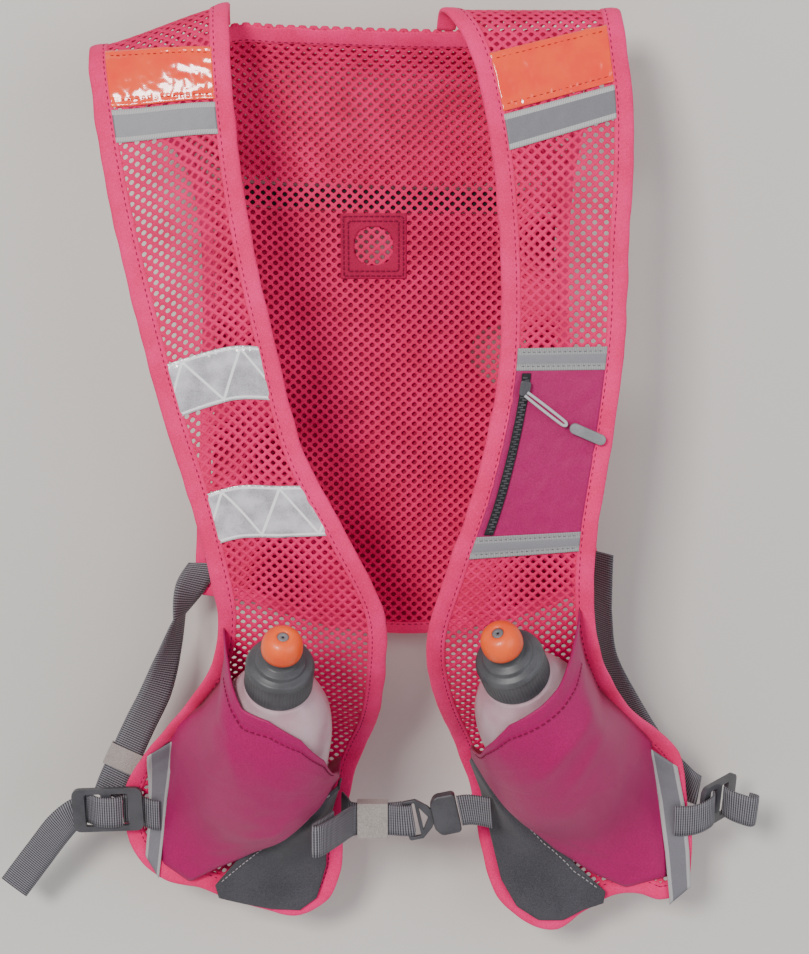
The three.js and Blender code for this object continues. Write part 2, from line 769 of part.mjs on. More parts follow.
for (const side of ["left", "right"]) {
  const pocket = pockets[side];
  const field = fields[side];
  // The cloth keeps clear of the bottle's sides by reading the foremost depth close by
  const reach = 0.8 * cell;
  const around = [[0, 0], [reach, 0], [-reach, 0], [0, reach], [0, -reach]];
  const place = (x, z) => new THREE.Vector3(x, Math.min(...around.map(([a, b]) => field(x + a, z + b))), z);
  const sampled = (rows, count) => {
    const curve = new THREE.CatmullRomCurve3(
      rows.map((row) => new THREE.Vector3(row.x * halfSpan, row.z * drop, 0)), false, "centripetal");
    return curve.getSpacedPoints(count).map((point) => [point.x, point.y]);
  };
  const count = 15;
  const upper = sampled(pocket.opening, count);
  const lower = sampled([...pocket.armEdge, ...pocket.seam], count);
  const rows = side === "left" ? ruled(lower, upper, 9, place) : ruled(upper, lower, 9, place);
  add(side + "_bottle_pocket", gridSolid(rows, 0, clothWall), "cloth");

  const drawn = pocket.seam.toReversed().map((row) => ({ x: row.x, z: row.z - 0.004 }));
  const seam = sampled(drawn, 12);
  const hem = sampled(pocket.hem.toReversed(), 12);
  const panel = side === "left" ? ruled(seam, hem, 5, place) : ruled(hem, seam, 5, place);
  add(side + "_pocket_panel", gridSolid(panel, 0, clothWall), "panel");

  const left = sampled(pocket.reflector.map((row) => ({ x: row.left, z: row.leftZ })), 8);
  const right = sampled(pocket.reflector.map((row) => ({ x: row.right, z: row.rightZ })), 8);
  const tapePlace = (x, z) => new THREE.Vector3(x, clothDepth(x, z) - overBinding - 0.45, z);
  add(side + "_pocket_reflector", gridSolid(ruled(left, right, 2, tapePlace), 0, tapeWall), "reflector");
}


// Straps. Each row is the middle of the webbing, mm, and the way its width points: tilt is
// turned from straight up towards +X, yaw from there towards the back, both in degrees.
function webbing(rows, wall, count) {
  const middle = new THREE.CatmullRomCurve3(
    rows.map((row) => new THREE.Vector3(row.x, row.y, row.z)), false, "centripetal");
  const grid = [];
  for (let j = 0; j <= count; j++) {
    const t = j / count;
    const f = Math.min(t * (rows.length - 1), rows.length - 1.001);
    const a = rows[Math.floor(f)];
    const b = rows[Math.floor(f) + 1];
    const tilt = THREE.MathUtils.degToRad(lerp(a.tilt, b.tilt, f % 1));
    const yaw = THREE.MathUtils.degToRad(lerp(a.yaw, b.yaw, f % 1));
    const wide = new THREE.Vector3(Math.sin(tilt) * Math.cos(yaw), Math.sin(yaw), Math.cos(tilt) * Math.cos(yaw));
    const point = middle.getPoint(t);
    grid.push([-0.5, 0.5].map((share) => point.clone().addScaledVector(wide, share * webbingWidth)));
  }
  return gridSolid(grid, -wall / 2, wall / 2);
}

// A frame with its own directions: across the webbing is y, along it is x, z is its face
function placed(geometry, centre, along, wide) {
  const x = new THREE.Vector3(...along).normalize();
  const z = new THREE.Vector3().crossVectors(x, new THREE.Vector3(...wide)).normalize();
  const y = new THREE.Vector3().crossVectors(z, x);
  return geometry.applyMatrix4(new THREE.Matrix4().makeBasis(x, y, z).setPosition(...centre));
}

const box = (wide, tall, thick) => new THREE.BoxGeometry(wide, tall, thick);

// Elastic keeper round the layers of a strap
function keeper(length, thickness) {
  const wall = 1;
  const wide = webbingWidth + 2 * gap;
  const body = box(length, wide + 2 * wall, thickness + 2 * wall);
  return cut(outward(body), outward(box(length * 2, wide, thickness)));
}

// Plate with rounded corners and rectangular windows, windows as {x, wide, tall}
function plate(length, tall, thick, windows, corner = 4) {
  const round = (path, x, y, w, h, r) => {
    path.moveTo(x - w / 2 + r, y - h / 2);
    for (const [cx, cy, from] of [[1, -1, -90], [1, 1, 0], [-1, 1, 90], [-1, -1, 180]]) {
      const a = THREE.MathUtils.degToRad(from);
      path.absarc(x + cx * (w / 2 - r), y + cy * (h / 2 - r), r, a, a + Math.PI / 2, false);
    }
    return path;
  };
  const shape = round(new THREE.Shape(), 0, 0, length, tall, corner);
  for (const hole of windows) shape.holes.push(round(new THREE.Path(), hole.x, 0, hole.wide, hole.tall, 1));
  const solid = new THREE.ExtrudeGeometry(shape, { depth: thick, bevelEnabled: false, curveSegments: 2 });
  return outward(solid.translate(0, 0, -thick / 2));
}

const glideWindows = [{ x: -8.2, wide: 9.5, tall: 19.6 }, { x: 7.2, wide: 9.5, tall: 19.6 }];

// Left side strap: from the back hem down to its ladder buckle, with the free tail
add("left_side_strap", webbing([
  { x: -93, y: 26.9, z: -304, tilt: 92, yaw: 0 },
  { x: -101, y: 21.5, z: -317, tilt: 115, yaw: 25 },
  { x: -107, y: 17.5, z: -333, tilt: 112, yaw: 75 },
  { x: -113, y: 16, z: -353, tilt: 112, yaw: 50 },
  { x: -121, y: 12, z: -376, tilt: 115, yaw: 15 },
  { x: -130, y: 9.5, z: -394, tilt: 117, yaw: 5 },
  { x: -138, y: 7, z: -411, tilt: 117, yaw: 0 },
  { x: -145, y: 4.8, z: -426, tilt: 118, yaw: 0 },
  { x: -149, y: 3.8, z: -436, tilt: 118, yaw: 0 },
], webbingWall, 20), "webbing");
add("left_side_keeper", placed(keeper(13, 3), [-139.9, 6.4, -415], [-7.6, -2.3, -15.6], [0.89, 0, -0.46]), "keeper");
add("left_glide", placed(plate(40, 26, 3, glideWindows), [-148.2, -6.5, -440.5], [1, 0, 0.04], [0, 0, 1]), "plastic");
add("left_side_tail", webbing([
  { x: -139.9, y: -7.6, z: -441, tilt: 0, yaw: 0 },
  { x: -143.6, y: -9.8, z: -441, tilt: 0, yaw: 0 },
  { x: -148.8, y: -10.2, z: -441, tilt: 0, yaw: 0 },
  { x: -153.4, y: -9, z: -441, tilt: 0, yaw: 0 },
  { x: -157, y: -6, z: -441, tilt: 0, yaw: 0 },
  { x: -161, y: -3, z: -441.4, tilt: 2, yaw: 0 },
  { x: -168, y: -2.4, z: -445, tilt: -14, yaw: 0 },
  { x: -178, y: 0, z: -455, tilt: -40, yaw: 0 },
  { x: -191, y: 4, z: -473, tilt: -47, yaw: 0 },
  { x: -207, y: 6, z: -495, tilt: -50, yaw: 0 },
], webbingWall, 24), "webbing");
add("left_side_tab", webbing([
  { x: -119, y: -5.2, z: -445, tilt: 0, yaw: 0 },
  { x: -124, y: -4.6, z: -444.5, tilt: 0, yaw: 0 },
  { x: -129, y: -3, z: -443, tilt: 0, yaw: 0 },
  { x: -134, y: -2.8, z: -442, tilt: 0, yaw: 0 },
  { x: -140, y: -2.8, z: -441, tilt: 0, yaw: 0 },
], webbingWall, 8), "webbing");

// Right side strap
add("right_side_strap", webbing([
  { x: 132, y: 21.5, z: -296, tilt: 90, yaw: -45 },
  { x: 133, y: 17, z: -326, tilt: 90, yaw: -60 },
  { x: 136, y: 20.5, z: -355, tilt: 85, yaw: -50 },
  { x: 148, y: 21, z: -384, tilt: 60, yaw: -30 },
  { x: 166, y: 18, z: -414, tilt: 45, yaw: -15 },
  { x: 184, y: 15, z: -433, tilt: 25, yaw: -5 },
  { x: 192, y: 14, z: -438, tilt: 8, yaw: 0 },
], webbingWall, 18), "webbing");
add("right_glide", placed(plate(34, 26, 3, [{ x: -7, wide: 7, tall: 19.6 }, { x: 5, wide: 7, tall: 19.6 }]),
  [202, 9, -442], [0.66, 0.75, 0], [0.1, 0, 1]), "plastic");
add("right_side_tab", webbing([
  { x: 175, y: -7.8, z: -447, tilt: 0, yaw: 0 },
  { x: 182, y: -8, z: -447, tilt: 0, yaw: 0 },
  { x: 188, y: -7.8, z: -446, tilt: 0, yaw: 0 },
  { x: 193.5, y: -6.6, z: -444, tilt: 0, yaw: 0 },
  { x: 197.6, y: -2.6, z: -443, tilt: 0, yaw: 0 },
  { x: 198.5, y: 1.5, z: -442, tilt: 0, yaw: 0 },
], webbingWall, 10), "webbing");
add("right_side_tail", webbing([
  { x: 205.5, y: 8.9, z: -442, tilt: 0, yaw: 0 },
  { x: 209, y: 5, z: -443, tilt: 0, yaw: 0 },
  { x: 215, y: 2.4, z: -444.5, tilt: 3, yaw: 0 },
  { x: 221, y: 2, z: -446, tilt: 5, yaw: 0 },
  { x: 224, y: 5, z: -446, tilt: 5, yaw: 0 },
  { x: 220, y: 9, z: -446, tilt: 5, yaw: 0 },
], webbingWall, 14), "webbing");

// Chest strap with its folded tail, keeper and side-release buckle
const chestZ = -435.6;
const chestY = -30;
add("chest_strap_left", webbing([
  { x: -14, y: chestY + 14, z: chestZ + 1, tilt: 0, yaw: 0 },
  { x: -11, y: chestY + 7, z: chestZ + 0.6, tilt: 0, yaw: 0 },
  { x: -7, y: chestY + 1.4, z: chestZ, tilt: 0, yaw: 0 },
  { x: 12, y: chestY + 1.3, z: chestZ, tilt: 0, yaw: 0 },
  { x: 20, y: chestY + 2.8, z: chestZ, tilt: -4, yaw: 0 },
  { x: 26, y: chestY + 2.4, z: chestZ, tilt: -9, yaw: 0 },
], webbingWall, 12), "webbing");
add("chest_strap_tail", webbing([
  { x: -18, y: chestY - 18.5, z: chestZ + 4, tilt: 0, yaw: 0 },
  { x: -23, y: chestY - 28, z: chestZ + 4, tilt: 0, yaw: 0 },
  { x: -27.4, y: chestY - 34.6, z: chestZ + 4, tilt: 0, yaw: 0 },
  { x: -28, y: chestY - 38, z: chestZ + 4, tilt: 0, yaw: 0 },
  { x: -23.6, y: chestY - 36.4, z: chestZ + 4, tilt: 0, yaw: 0 },
  { x: -15, y: chestY - 21, z: chestZ + 3, tilt: 0, yaw: 0 },
  { x: -10, y: chestY - 8, z: chestZ + 1, tilt: 0, yaw: 0 },
  { x: -6.5, y: chestY - 1.9, z: chestZ, tilt: 0, yaw: 0 },
  { x: 0, y: chestY - 1.3, z: chestZ, tilt: 0, yaw: 0 },
  { x: 12, y: chestY - 1.3, z: chestZ, tilt: 0, yaw: 0 },
  { x: 20, y: chestY - 2.8, z: chestZ, tilt: -4, yaw: 0 },
  { x: 26, y: chestY - 2.2, z: chestZ, tilt: -9, yaw: 0 },
], webbingWall, 26), "webbing");
add("chest_keeper", placed(keeper(17, 5.4), [3.2, chestY + 0.1, chestZ], [1, 0, 0], [0, 0, 1]), "keeper");

// Side-release buckle: a ladder with a tongue that is caught in a flat hollow socket
const strapClearance = 0.56; // between the buckle's closed end and the webbing sewn behind it
const buckle = { start: [21.5, chestY, chestZ - 1.5], along: [0.978, 0, 0.208], length: 30, half: 11.8 };
const polygonSolid = (pairs, holes, thick) => {
  const shape = new THREE.Shape(pairs.map(([x, y]) => new THREE.Vector2(x, y)));
  for (const hole of holes) shape.holes.push(new THREE.Path(hole.map(([x, y]) => new THREE.Vector2(x, y))));
  const solid = new THREE.ExtrudeGeometry(shape, { depth: thick, bevelEnabled: false });
  return outward(solid.translate(0, 0, -thick / 2));
};
const mirrored = (pairs) => [...pairs, ...pairs.toReversed().map(([x, y]) => [x, -y])];
const tongue = polygonSolid(
  mirrored([[0, -10.8], [1, -buckle.half], [8, -buckle.half], [14, -6.5], [15, -4.8], [24, -4.4]]),
  [mirrored([[2.2, -9.8], [7, -9.8]]), [[9, -6.6], [13, 0], [9, 6.6]]],
  2.4);
add("chest_buckle_tongue", placed(tongue, buckle.start, buckle.along, [0, 0, 1]), "plastic");
const body = polygonSolid(
  mirrored([[15.4, -7.4], [18, -11], [20, -buckle.half], [28.5, -buckle.half], [buckle.length, -10.6]]), [], 6.4);
const slot = outward(box(20, 10.6, 3.2).translate(15.5, 0, 0));
add("chest_buckle_socket", placed(cut(body, slot), buckle.start, buckle.along, [0, 0, 1]), "plastic");
const socketEnd = {
  x: buckle.start[0] + buckle.along[0] * buckle.length + strapClearance,
  z: buckle.start[2] + buckle.along[2] * buckle.length,
};
add("chest_strap_right", webbing([
  { x: 69.2, y: chestY - 4.4, z: chestZ + 5.4, tilt: -4, yaw: 0 },
  { x: 63, y: chestY - 1.4, z: chestZ + 5.4, tilt: -7, yaw: 0 },
  { x: 57, y: chestY + 0.6, z: chestZ + 5.2, tilt: -10, yaw: 0 },
  { x: socketEnd.x, y: chestY, z: socketEnd.z, tilt: -12, yaw: 0 },
], webbingWall, 6), "webbing");

// Zip slider with its doubled cord and flat grip, lying over the pocket
{
  const [x, s] = edgeAt("right", true, 0.405, bindingWidth + seamGap);
  const at = onCloth(x + 1.5 + zipPocket.teethWidth / 2, s);
  const face = at.y - overMesh - 1.4;
  add("zip_slider", placed(plate(8, 5.4, 2.4, [], 1.5), [at.x, face - 1.75, at.z], [0.16, 0.1, 1], [1, 0, 0]), "plastic");
  const from = new THREE.Vector3(at.x, face - 4.2, at.z - 2);
  const to = new THREE.Vector3(104, face - 4.4, -205.5);
  const run = to.clone().sub(from);
  const aside = new THREE.Vector3(run.z, 0, -run.x).normalize();
  const loop = [[0, 0.4], [0.1, 1.2], [0.5, 1.3], [0.92, 1.1], [1, 0.3], [1, -0.3], [0.92, -1.1], [0.5, -1.3], [0.1, -1.2], [0, -0.4]];
  const path = new THREE.CatmullRomCurve3(
    loop.map(([t, w]) => from.clone().addScaledVector(run, t).addScaledVector(aside, w)), true, "centripetal");
  add("zip_cord", outward(new THREE.TubeGeometry(path, 26, 0.8, 6, true)), "cord");
  const grip = new THREE.Vector3(115.4, face - 4.4, -210.4);
  add("zip_grip", placed(plate(20, 5.6, 2.6, [], 2.7), grip.toArray(), [20, 0, -8.8], [0, 0, 1]), "plastic");
}

export default group;
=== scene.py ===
# Running hydration vest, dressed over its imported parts. The front faces -Y and the shoulders hang at z = 0.
import math

import bmesh
import bpy
import numpy as np
from mathutils import Matrix, Vector, noise
from mathutils.bvhtree import BVHTree


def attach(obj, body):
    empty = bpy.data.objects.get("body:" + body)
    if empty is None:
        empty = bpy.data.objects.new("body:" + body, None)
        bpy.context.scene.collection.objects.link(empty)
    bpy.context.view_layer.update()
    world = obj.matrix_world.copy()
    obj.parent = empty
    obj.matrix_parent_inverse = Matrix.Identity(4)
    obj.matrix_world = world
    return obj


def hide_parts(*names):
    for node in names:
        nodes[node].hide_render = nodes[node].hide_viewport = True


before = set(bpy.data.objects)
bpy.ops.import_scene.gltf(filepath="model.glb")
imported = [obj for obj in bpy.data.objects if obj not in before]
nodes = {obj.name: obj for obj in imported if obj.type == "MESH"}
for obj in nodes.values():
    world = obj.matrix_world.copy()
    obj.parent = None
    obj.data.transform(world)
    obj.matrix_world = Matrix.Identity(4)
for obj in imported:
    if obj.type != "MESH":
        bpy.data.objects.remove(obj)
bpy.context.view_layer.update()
mm = 0.001
print("frame loaded,", len(nodes), "parts")

# camera at the height of the shoulders, looking down a little
shot = {"place": (0.021, -0.9853, -0.00108), "aim": (0.021, -0.015, -0.243), "angle": 28.9}
camera = bpy.data.objects.new("camera", bpy.data.cameras.new("camera"))
bpy.context.scene.collection.objects.link(camera)
camera.location = shot["place"]
camera.rotation_euler = (Vector(shot["aim"]) - Vector(shot["place"])).to_track_quat("-Z", "Y").to_euler()
camera.data.sensor_width = 36
camera.data.lens = 18 / math.tan(math.radians(shot["angle"] / 2))
bpy.context.scene.camera = camera


# finishes

class Wire:
    def __init__(self, finish, socket):
        self.finish = finish
        self.socket = socket

    def maths(self, operation, first, second):
        return self.finish.node("ShaderNodeMath", {"operation": operation}, {0: first, 1: second})

    def __add__(self, other):
        return self.maths("ADD", self, other)

    __radd__ = __add__

    def __mul__(self, other):
        return self.maths("MULTIPLY", self, other)

    __rmul__ = __mul__

    def __sub__(self, other):
        return self.maths("SUBTRACT", self, other)

    def __rsub__(self, other):
        return self.maths("SUBTRACT", other, self)

    def __truediv__(self, other):
        return self.maths("DIVIDE", self, other)

    def __pow__(self, other):
        return self.maths("POWER", self, other)

    def over(self, limit):
        return self.maths("GREATER_THAN", self, limit)

    def most(self, other):
        return self.maths("MAXIMUM", self, other)

    def ramp(self, low, high, fromLow=0.0, fromHigh=1.0):
        settings = {"interpolation_type": "SMOOTHSTEP"}
        return self.finish.node("ShaderNodeMapRange", settings,
                                {0: self, 1: low, 2: high, 3: fromLow, 4: fromHigh})


class Finish:
    def __init__(self, name, sockets):
        self.material = bpy.data.materials.new(name)
        self.material.use_nodes = True
        self.tree = self.material.node_tree
        self.shader = self.tree.nodes["Principled BSDF"]
        self.set(self.shader, sockets)
        self.position = self.node("ShaderNodeTexCoord", output="Object")

    def set(self, made, sockets):
        for key, value in sockets.items():
            if isinstance(value, Wire):
                self.tree.links.new(value.socket, made.inputs[key])
            else:
                made.inputs[key].default_value = value

    def node(self, kind, settings=None, sockets=None, output=0):
        made = self.tree.nodes.new(kind)
        for name, value in (settings or {}).items():
            setattr(made, name, value)
        self.set(made, sockets or {})
        return Wire(self, made.outputs[output])

    def noise(self, scale, detail=2.0, vector=None, roughness=0.5):
        place = vector or self.position
        return self.node("ShaderNodeTexNoise", {},
                         {"Vector": place, "Scale": scale, "Detail": detail, "Roughness": roughness})

    def cells(self, scale, vector=None, feature="F1", randomness=1.0):
        place = vector or self.position
        return self.node("ShaderNodeTexVoronoi", {"feature": feature},
                         {"Vector": place, "Scale": scale, "Randomness": randomness}, "Distance")

    def along(self, name):
        return self.node("ShaderNodeAttribute", {"attribute_name": name}, output="Fac")

    def maths(self, kind, first, second=0.0):
        return self.node("ShaderNodeMath", {"operation": kind}, {0: first, 1: second})

    def wave(self, value, period):
        # 0 to 1 and back over each period
        return self.node("ShaderNodeMath", {"operation": "SINE"},
                         {0: value * (2 * math.pi / period)}) * 0.5 + 0.5

    def tint(self, share, first, second, blend="MIX"):
        return self.node("ShaderNodeMix", {"data_type": "RGBA", "blend_type": blend},
                         {0: share, 6: first, 7: second}, 2)

    def relief(self, height, distance, strength=1.0, under=None):
        sockets = {"Height": height, "Distance": distance, "Strength": strength}
        if under:
            sockets["Normal"] = under
        return self.node("ShaderNodeBump", {}, sockets)

    def done(self, sockets):
        self.set(self.shader, sockets)
        return self.material


def paint(red, green, blue):
    # screen colour to the linear one that the sockets take
    return tuple(((c / 255 + 0.055) / 1.055) ** 2.4 if c > 10 else c / 3294
                 for c in (red, green, blue)) + (1.0,)


# wall and floor in one sheet, and lights
backdrop = {"wall": 0.052, "floor": -0.68, "bend": 0.25, "width": 7.0, "top": 2.6, "front": -3.5}
bm = bmesh.new()
bmesh.ops.create_grid(bm, x_segments=1, y_segments=40, size=1)
low, deep, bend = backdrop["floor"], backdrop["wall"], backdrop["bend"]
for vert in bm.verts:
    run = (vert.co.y + 1) / 2
    if run < 0.3:
        place = (backdrop["front"] + (deep - bend - backdrop["front"]) * run / 0.3, low)
    elif run < 0.7:
        turn = (run - 0.3) / 0.4 * math.pi / 2
        place = (deep - bend + bend * math.sin(turn), low + bend - bend * math.cos(turn))
    else:
        place = (deep, low + bend + (backdrop["top"] - low - bend) * (run - 0.7) / 0.3)
    vert.co = (vert.co.x * backdrop["width"] / 2, place[0], place[1])
mesh = bpy.data.meshes.new("backdrop")
bm.to_mesh(mesh)
bm.free()
wall = bpy.data.objects.new("backdrop", mesh)
bpy.context.scene.collection.objects.link(wall)
for face in mesh.polygons:
    face.use_smooth = True
plaster = Finish("plaster", {"Base Color": paint(206, 203, 197), "Roughness": 0.9})
seen = plaster.node("ShaderNodeNewGeometry", output="Backfacing")
clear = plaster.node("ShaderNodeBsdfTransparent")
plaster.set(plaster.tree.nodes["Material Output"], {
    "Surface": plaster.node("ShaderNodeMixShader", {},
                            {0: seen, 1: Wire(plaster, plaster.shader.outputs[0]), 2: clear})})
wall.data.materials.append(plaster.material)
wall.visible_diffuse = wall.visible_shadow = False

lights = [  # place, aim, width, power, colour
    ("key", (-0.75, -1.9, 0.75), (0.0, 0.0, -0.25), 0.55, 42, (1.0, 0.97, 0.93)),
    ("fill", (1.5, -1.6, 0.1), (0.0, 0.0, -0.3), 1.6, 16, (0.95, 0.97, 1.0)),
]
for name, place, aim, width, power, colour in lights:
    lamp = bpy.data.lights.new(name, "AREA")
    lamp.size, lamp.energy, lamp.color = width, power, colour
    lampObject = bpy.data.objects.new(name, lamp)
    bpy.context.scene.collection.objects.link(lampObject)
    lampObject.location = place
    lampObject.rotation_euler = (Vector(aim) - Vector(place)).to_track_quat("-Z", "Y").to_euler()
world = bpy.data.worlds.new("room")
bpy.context.scene.world = world
world.use_nodes = True
world.node_tree.nodes["Background"].inputs["Color"].default_value = (0.80, 0.82, 0.85, 1)
world.node_tree.nodes["Background"].inputs["Strength"].default_value = 0.75
print("camera, backdrop and lights stand")


# cloth: pieces are made flat as (across, down the cloth, height above it), mm, and then laid on it
drop, halfSpan, crease = 500, 140, -14
clothSide = [  # share of the drop down the cloth, depth, height
    (-0.72, 0.05, -0.708), (-0.52, 0.062, -0.508), (-0.32, 0.066, -0.308), (-0.16, 0.058, -0.149),
    (-0.08, 0.048, -0.07), (-0.04, 0.031, -0.034), (-0.018, 0.014, -0.007), (0, 0, 0),
    (0.018, -0.016, -0.005), (0.048, -0.035, -0.026), (0.1, -0.052, -0.074), (0.2, -0.07, -0.172),
    (0.4, -0.094, -0.37), (0.58, -0.106, -0.55), (0.68, -0.092, -0.65), (0.728, -0.074, -0.696),
    (0.784, -0.044, -0.746), (0.854, -0.004, -0.804), (0.92, 0.004, -0.87), (0.98, -0.008, -0.93),
    (1.1, -0.03, -1.048)]
shoulderSlope = [(-1.5, -24), (-1, -18.5), (-0.5, 3.4), (-0.3, 3), (0.3, 0.7),
                 (1.4, 0.7)]  # share across, lift in mm


def smoothReader(rows):
    def slopeAt(i, k):
        a, b = rows[max(i - 1, 0)], rows[min(i + 1, len(rows) - 1)]
        return (b[k] - a[k]) / (b[0] - a[0])

    def read(value):
        i = sum(1 for row in rows if row[0] <= value) - 1
        i = min(max(i, 0), len(rows) - 2)
        a, b = rows[i], rows[i + 1]
        span = b[0] - a[0]
        t = min(max((value - a[0]) / span, 0), 1)
        bend = t * t * (3 - 2 * t)
        return [a[k] * (1 - bend) + b[k] * bend + slopeAt(i, k) * span * (t ** 3 - 2 * t * t + t)
                + slopeAt(i + 1, k) * span * (t ** 3 - t * t) for k in range(1, len(a))]
    return read


downFine = np.linspace(-0.75, 1.15, 3801) * drop
sideFine = np.array([smoothReader(clothSide)(value / drop) for value in downFine]) * drop
acrossFine = np.linspace(-1.6, 1.6, 641) * halfSpan
liftFine = np.array([smoothReader(shoulderSlope)(value / halfSpan)[0] for value in acrossFine])
sideTurn = np.gradient(sideFine, downFine, axis=0)
liftTurn = np.gradient(liftFine, acrossFine)


def onCloth(flat):
    # rows of (across, down, height) to rows of places
    x, s, h = np.asarray(flat, float).T
    depth, height = np.interp(s, downFine, sideFine[:, 0]), np.interp(s, downFine, sideFine[:, 1])
    turnDepth, turnHeight = np.interp(s, downFine, sideTurn[:, 0]), np.interp(s, downFine, sideTurn[:, 1])
    lift, turnLift = np.interp(x, acrossFine, liftFine), np.interp(x, acrossFine, liftTurn)
    out = np.stack([turnDepth * turnLift, turnHeight, -turnDepth], 1)
    out /= np.linalg.norm(out, axis=1)[:, None]
    return np.stack([x, depth, height + lift], 1) + out * h[:, None]


def layDown(bm, mapping):
    # the flat side's up turns over on the way, so the faces are turned back
    bm.verts.ensure_lookup_table()
    placed = mapping([tuple(vert.co) for vert in bm.verts])
    for vert, place in zip(bm.verts, placed):
        vert.co = place
    bmesh.ops.reverse_faces(bm, faces=bm.faces[:])


class SmoothLine:
    # centripetal curve through plane points, read by point number
    def __init__(self, points):
        self.points = [Vector(point) for point in points]
        self.last = len(points) - 1

    def at(self, number):
        number = min(max(number, 0), self.last)
        i = min(int(number), self.last - 1)
        t = number - i
        p = self.points
        before = p[i - 1] if i > 0 else 2 * p[0] - p[1]
        after = p[i + 2] if i + 2 <= self.last else 2 * p[-1] - p[-2]
        a, b, c = (max((q - r).length, 1e-6) ** 0.5 for q,
                   r in ((p[i], before), (p[i + 1], p[i]), (after, p[i + 1])))
        one = ((p[i] - before) / a - (p[i + 1] - before) / (a + b) + (p[i + 1] - p[i]) / b) * b
        two = ((p[i + 1] - p[i]) / b - (after - p[i]) / (b + c) + (after - p[i + 1]) / c) * b
        return (p[i] + one * t + (-3 * p[i] + 3 * p[i + 1] - 2 * one - two) * t * t
                + (2 * p[i] - 2 * p[i + 1] + one + two) * t ** 3)

    def way(self, number):
        step = 0.01
        return (self.at(number + step) - self.at(number - step)).normalized()

    def inset(self, number, width):
        along, point = self.way(number), self.at(number)
        return Vector((point.x - along.y * width, max(point.y + along.x * width, crease)))

    def even(self, first, last, spacing):
        # point numbers at even lengths between two point numbers
        fine = np.linspace(first, last, 1200)
        places = np.array([self.at(number) for number in fine])
        run = np.concatenate([[0], np.cumsum(np.linalg.norm(np.diff(places, axis=0), axis=1))])
        steps = max(2, round(run[-1] / spacing))
        return np.interp(np.linspace(0, run[-1], steps + 1), run, fine), run[-1]


def within(polygon, x, y):
    odd = False
    for (x1, y1), (x2, y2) in zip(polygon, polygon[1:] + polygon[:1]):
        if (y1 > y) != (y2 > y) and x < (x2 - x1) * (y - y1) / (y2 - y1) + x1:
            odd = not odd
    return odd


frontOutline = {  # share of the half span across, share of the drop down, from the arm side round to the neck side
    "left": {"tip": 13, "points": [
        (-1.02, -0.028), (-1.011, 0.016), (-0.986, 0.076), (-0.939, 0.165), (-0.85, 0.291), (-0.74, 0.425),
        (-0.636, 0.533), (-0.567, 0.632), (-0.56, 0.664), (-0.591, 0.709), (-0.672, 0.747), (-0.796, 0.788),
        (-0.939, 0.845), (-1.006, 0.89), (-0.97, 0.95), (-0.832, 0.996), (-0.691, 1.018), (-0.522, 1.05),
        (-0.309, 1.065), (-0.173, 1.048), (-0.111, 1.01), (-0.1, 0.96), (-0.052, 0.897), (0.031, 0.824),
        (0.074, 0.733), (0.072, 0.649), (-0.072, 0.559), (-0.223, 0.476), (-0.322, 0.368), (-0.403, 0.264),
        (-0.444, 0.189), (-0.475, 0.1), (-0.493, 0), (-0.498, -0.028)]},
    "right": {"tip": 15, "points": [
        (0.938, -0.028), (0.941, 0), (0.958, 0.062), (0.979, 0.115), (0.981, 0.187), (0.969, 0.26),
        (0.96, 0.358), (0.922, 0.456), (0.87, 0.561), (0.864, 0.623), (0.885, 0.677), (0.946, 0.73),
        (1.046, 0.786), (1.184, 0.836), (1.271, 0.871), (1.31, 0.93), (1.33, 0.985), (1.3, 1.031),
        (1.2, 1.042), (1.118, 1.035), (1.016, 1.036), (0.892, 1.055), (0.769, 1.077), (0.637, 1.066),
        (0.53, 1.037), (0.469, 0.988), (0.423, 0.916), (0.351, 0.852), (0.249, 0.739), (0.236, 0.677),
        (0.306, 0.601), (0.412, 0.507), (0.487, 0.407), (0.504, 0.337), (0.487, 0.218), (0.446, 0.131),
        (0.381, 0.059), (0.284, 0), (0.27, -0.028)]}}
edgeLine = {side: SmoothLine([(x * halfSpan, s * drop) for x, s in shape["points"]]) for side,
            shape in frontOutline.items()}
inward = {"left": -1, "right": 1}


def edgeAt(side, neckSide, down, width):
    # the place inside a front panel's edge at a length down the cloth, in mm
    line = edgeLine[side]
    low, high = (line.last, 20.3 if side == "left" else 23.6) if neckSide else (0, 14.6 if side == "left"
                                                                                else 16.6)
    for _ in range(30):
        middle = (low + high) / 2
        if line.inset(middle, width * inward[side]).y < down:
            low = middle
        else:
            high = middle
    return line.inset(low, width * inward[side])


def finishPiece(bm, name, material, body="vest", replaced=(), slot=None, smooth=True, thickness=None,
                bevel=None, levels=0):
    bmesh.ops.transform(bm, matrix=Matrix.Scale(mm, 4), verts=bm.verts[:])
    mesh = bpy.data.meshes.new(name)
    bm.to_mesh(mesh)
    bm.free()
    piece = bpy.data.objects.new(name, mesh)
    bpy.context.scene.collection.objects.link(piece)
    mesh.materials.append(material)
    for face in mesh.polygons:
        face.use_smooth = smooth
    if thickness:
        wallOf = piece.modifiers.new("wall", "SOLIDIFY")
        wallOf.thickness, wallOf.offset = thickness * mm, -1
    if bevel:
        edge = piece.modifiers.new("edge", "BEVEL")
        edge.width, edge.segments, edge.limit_method = bevel * mm, 2, "ANGLE"
    if levels:
        finer = piece.modifiers.new("finer", "SUBSURF")
        finer.levels = finer.render_levels = levels
    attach(piece, body)
    if replaced:
        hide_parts(*replaced)
    return piece


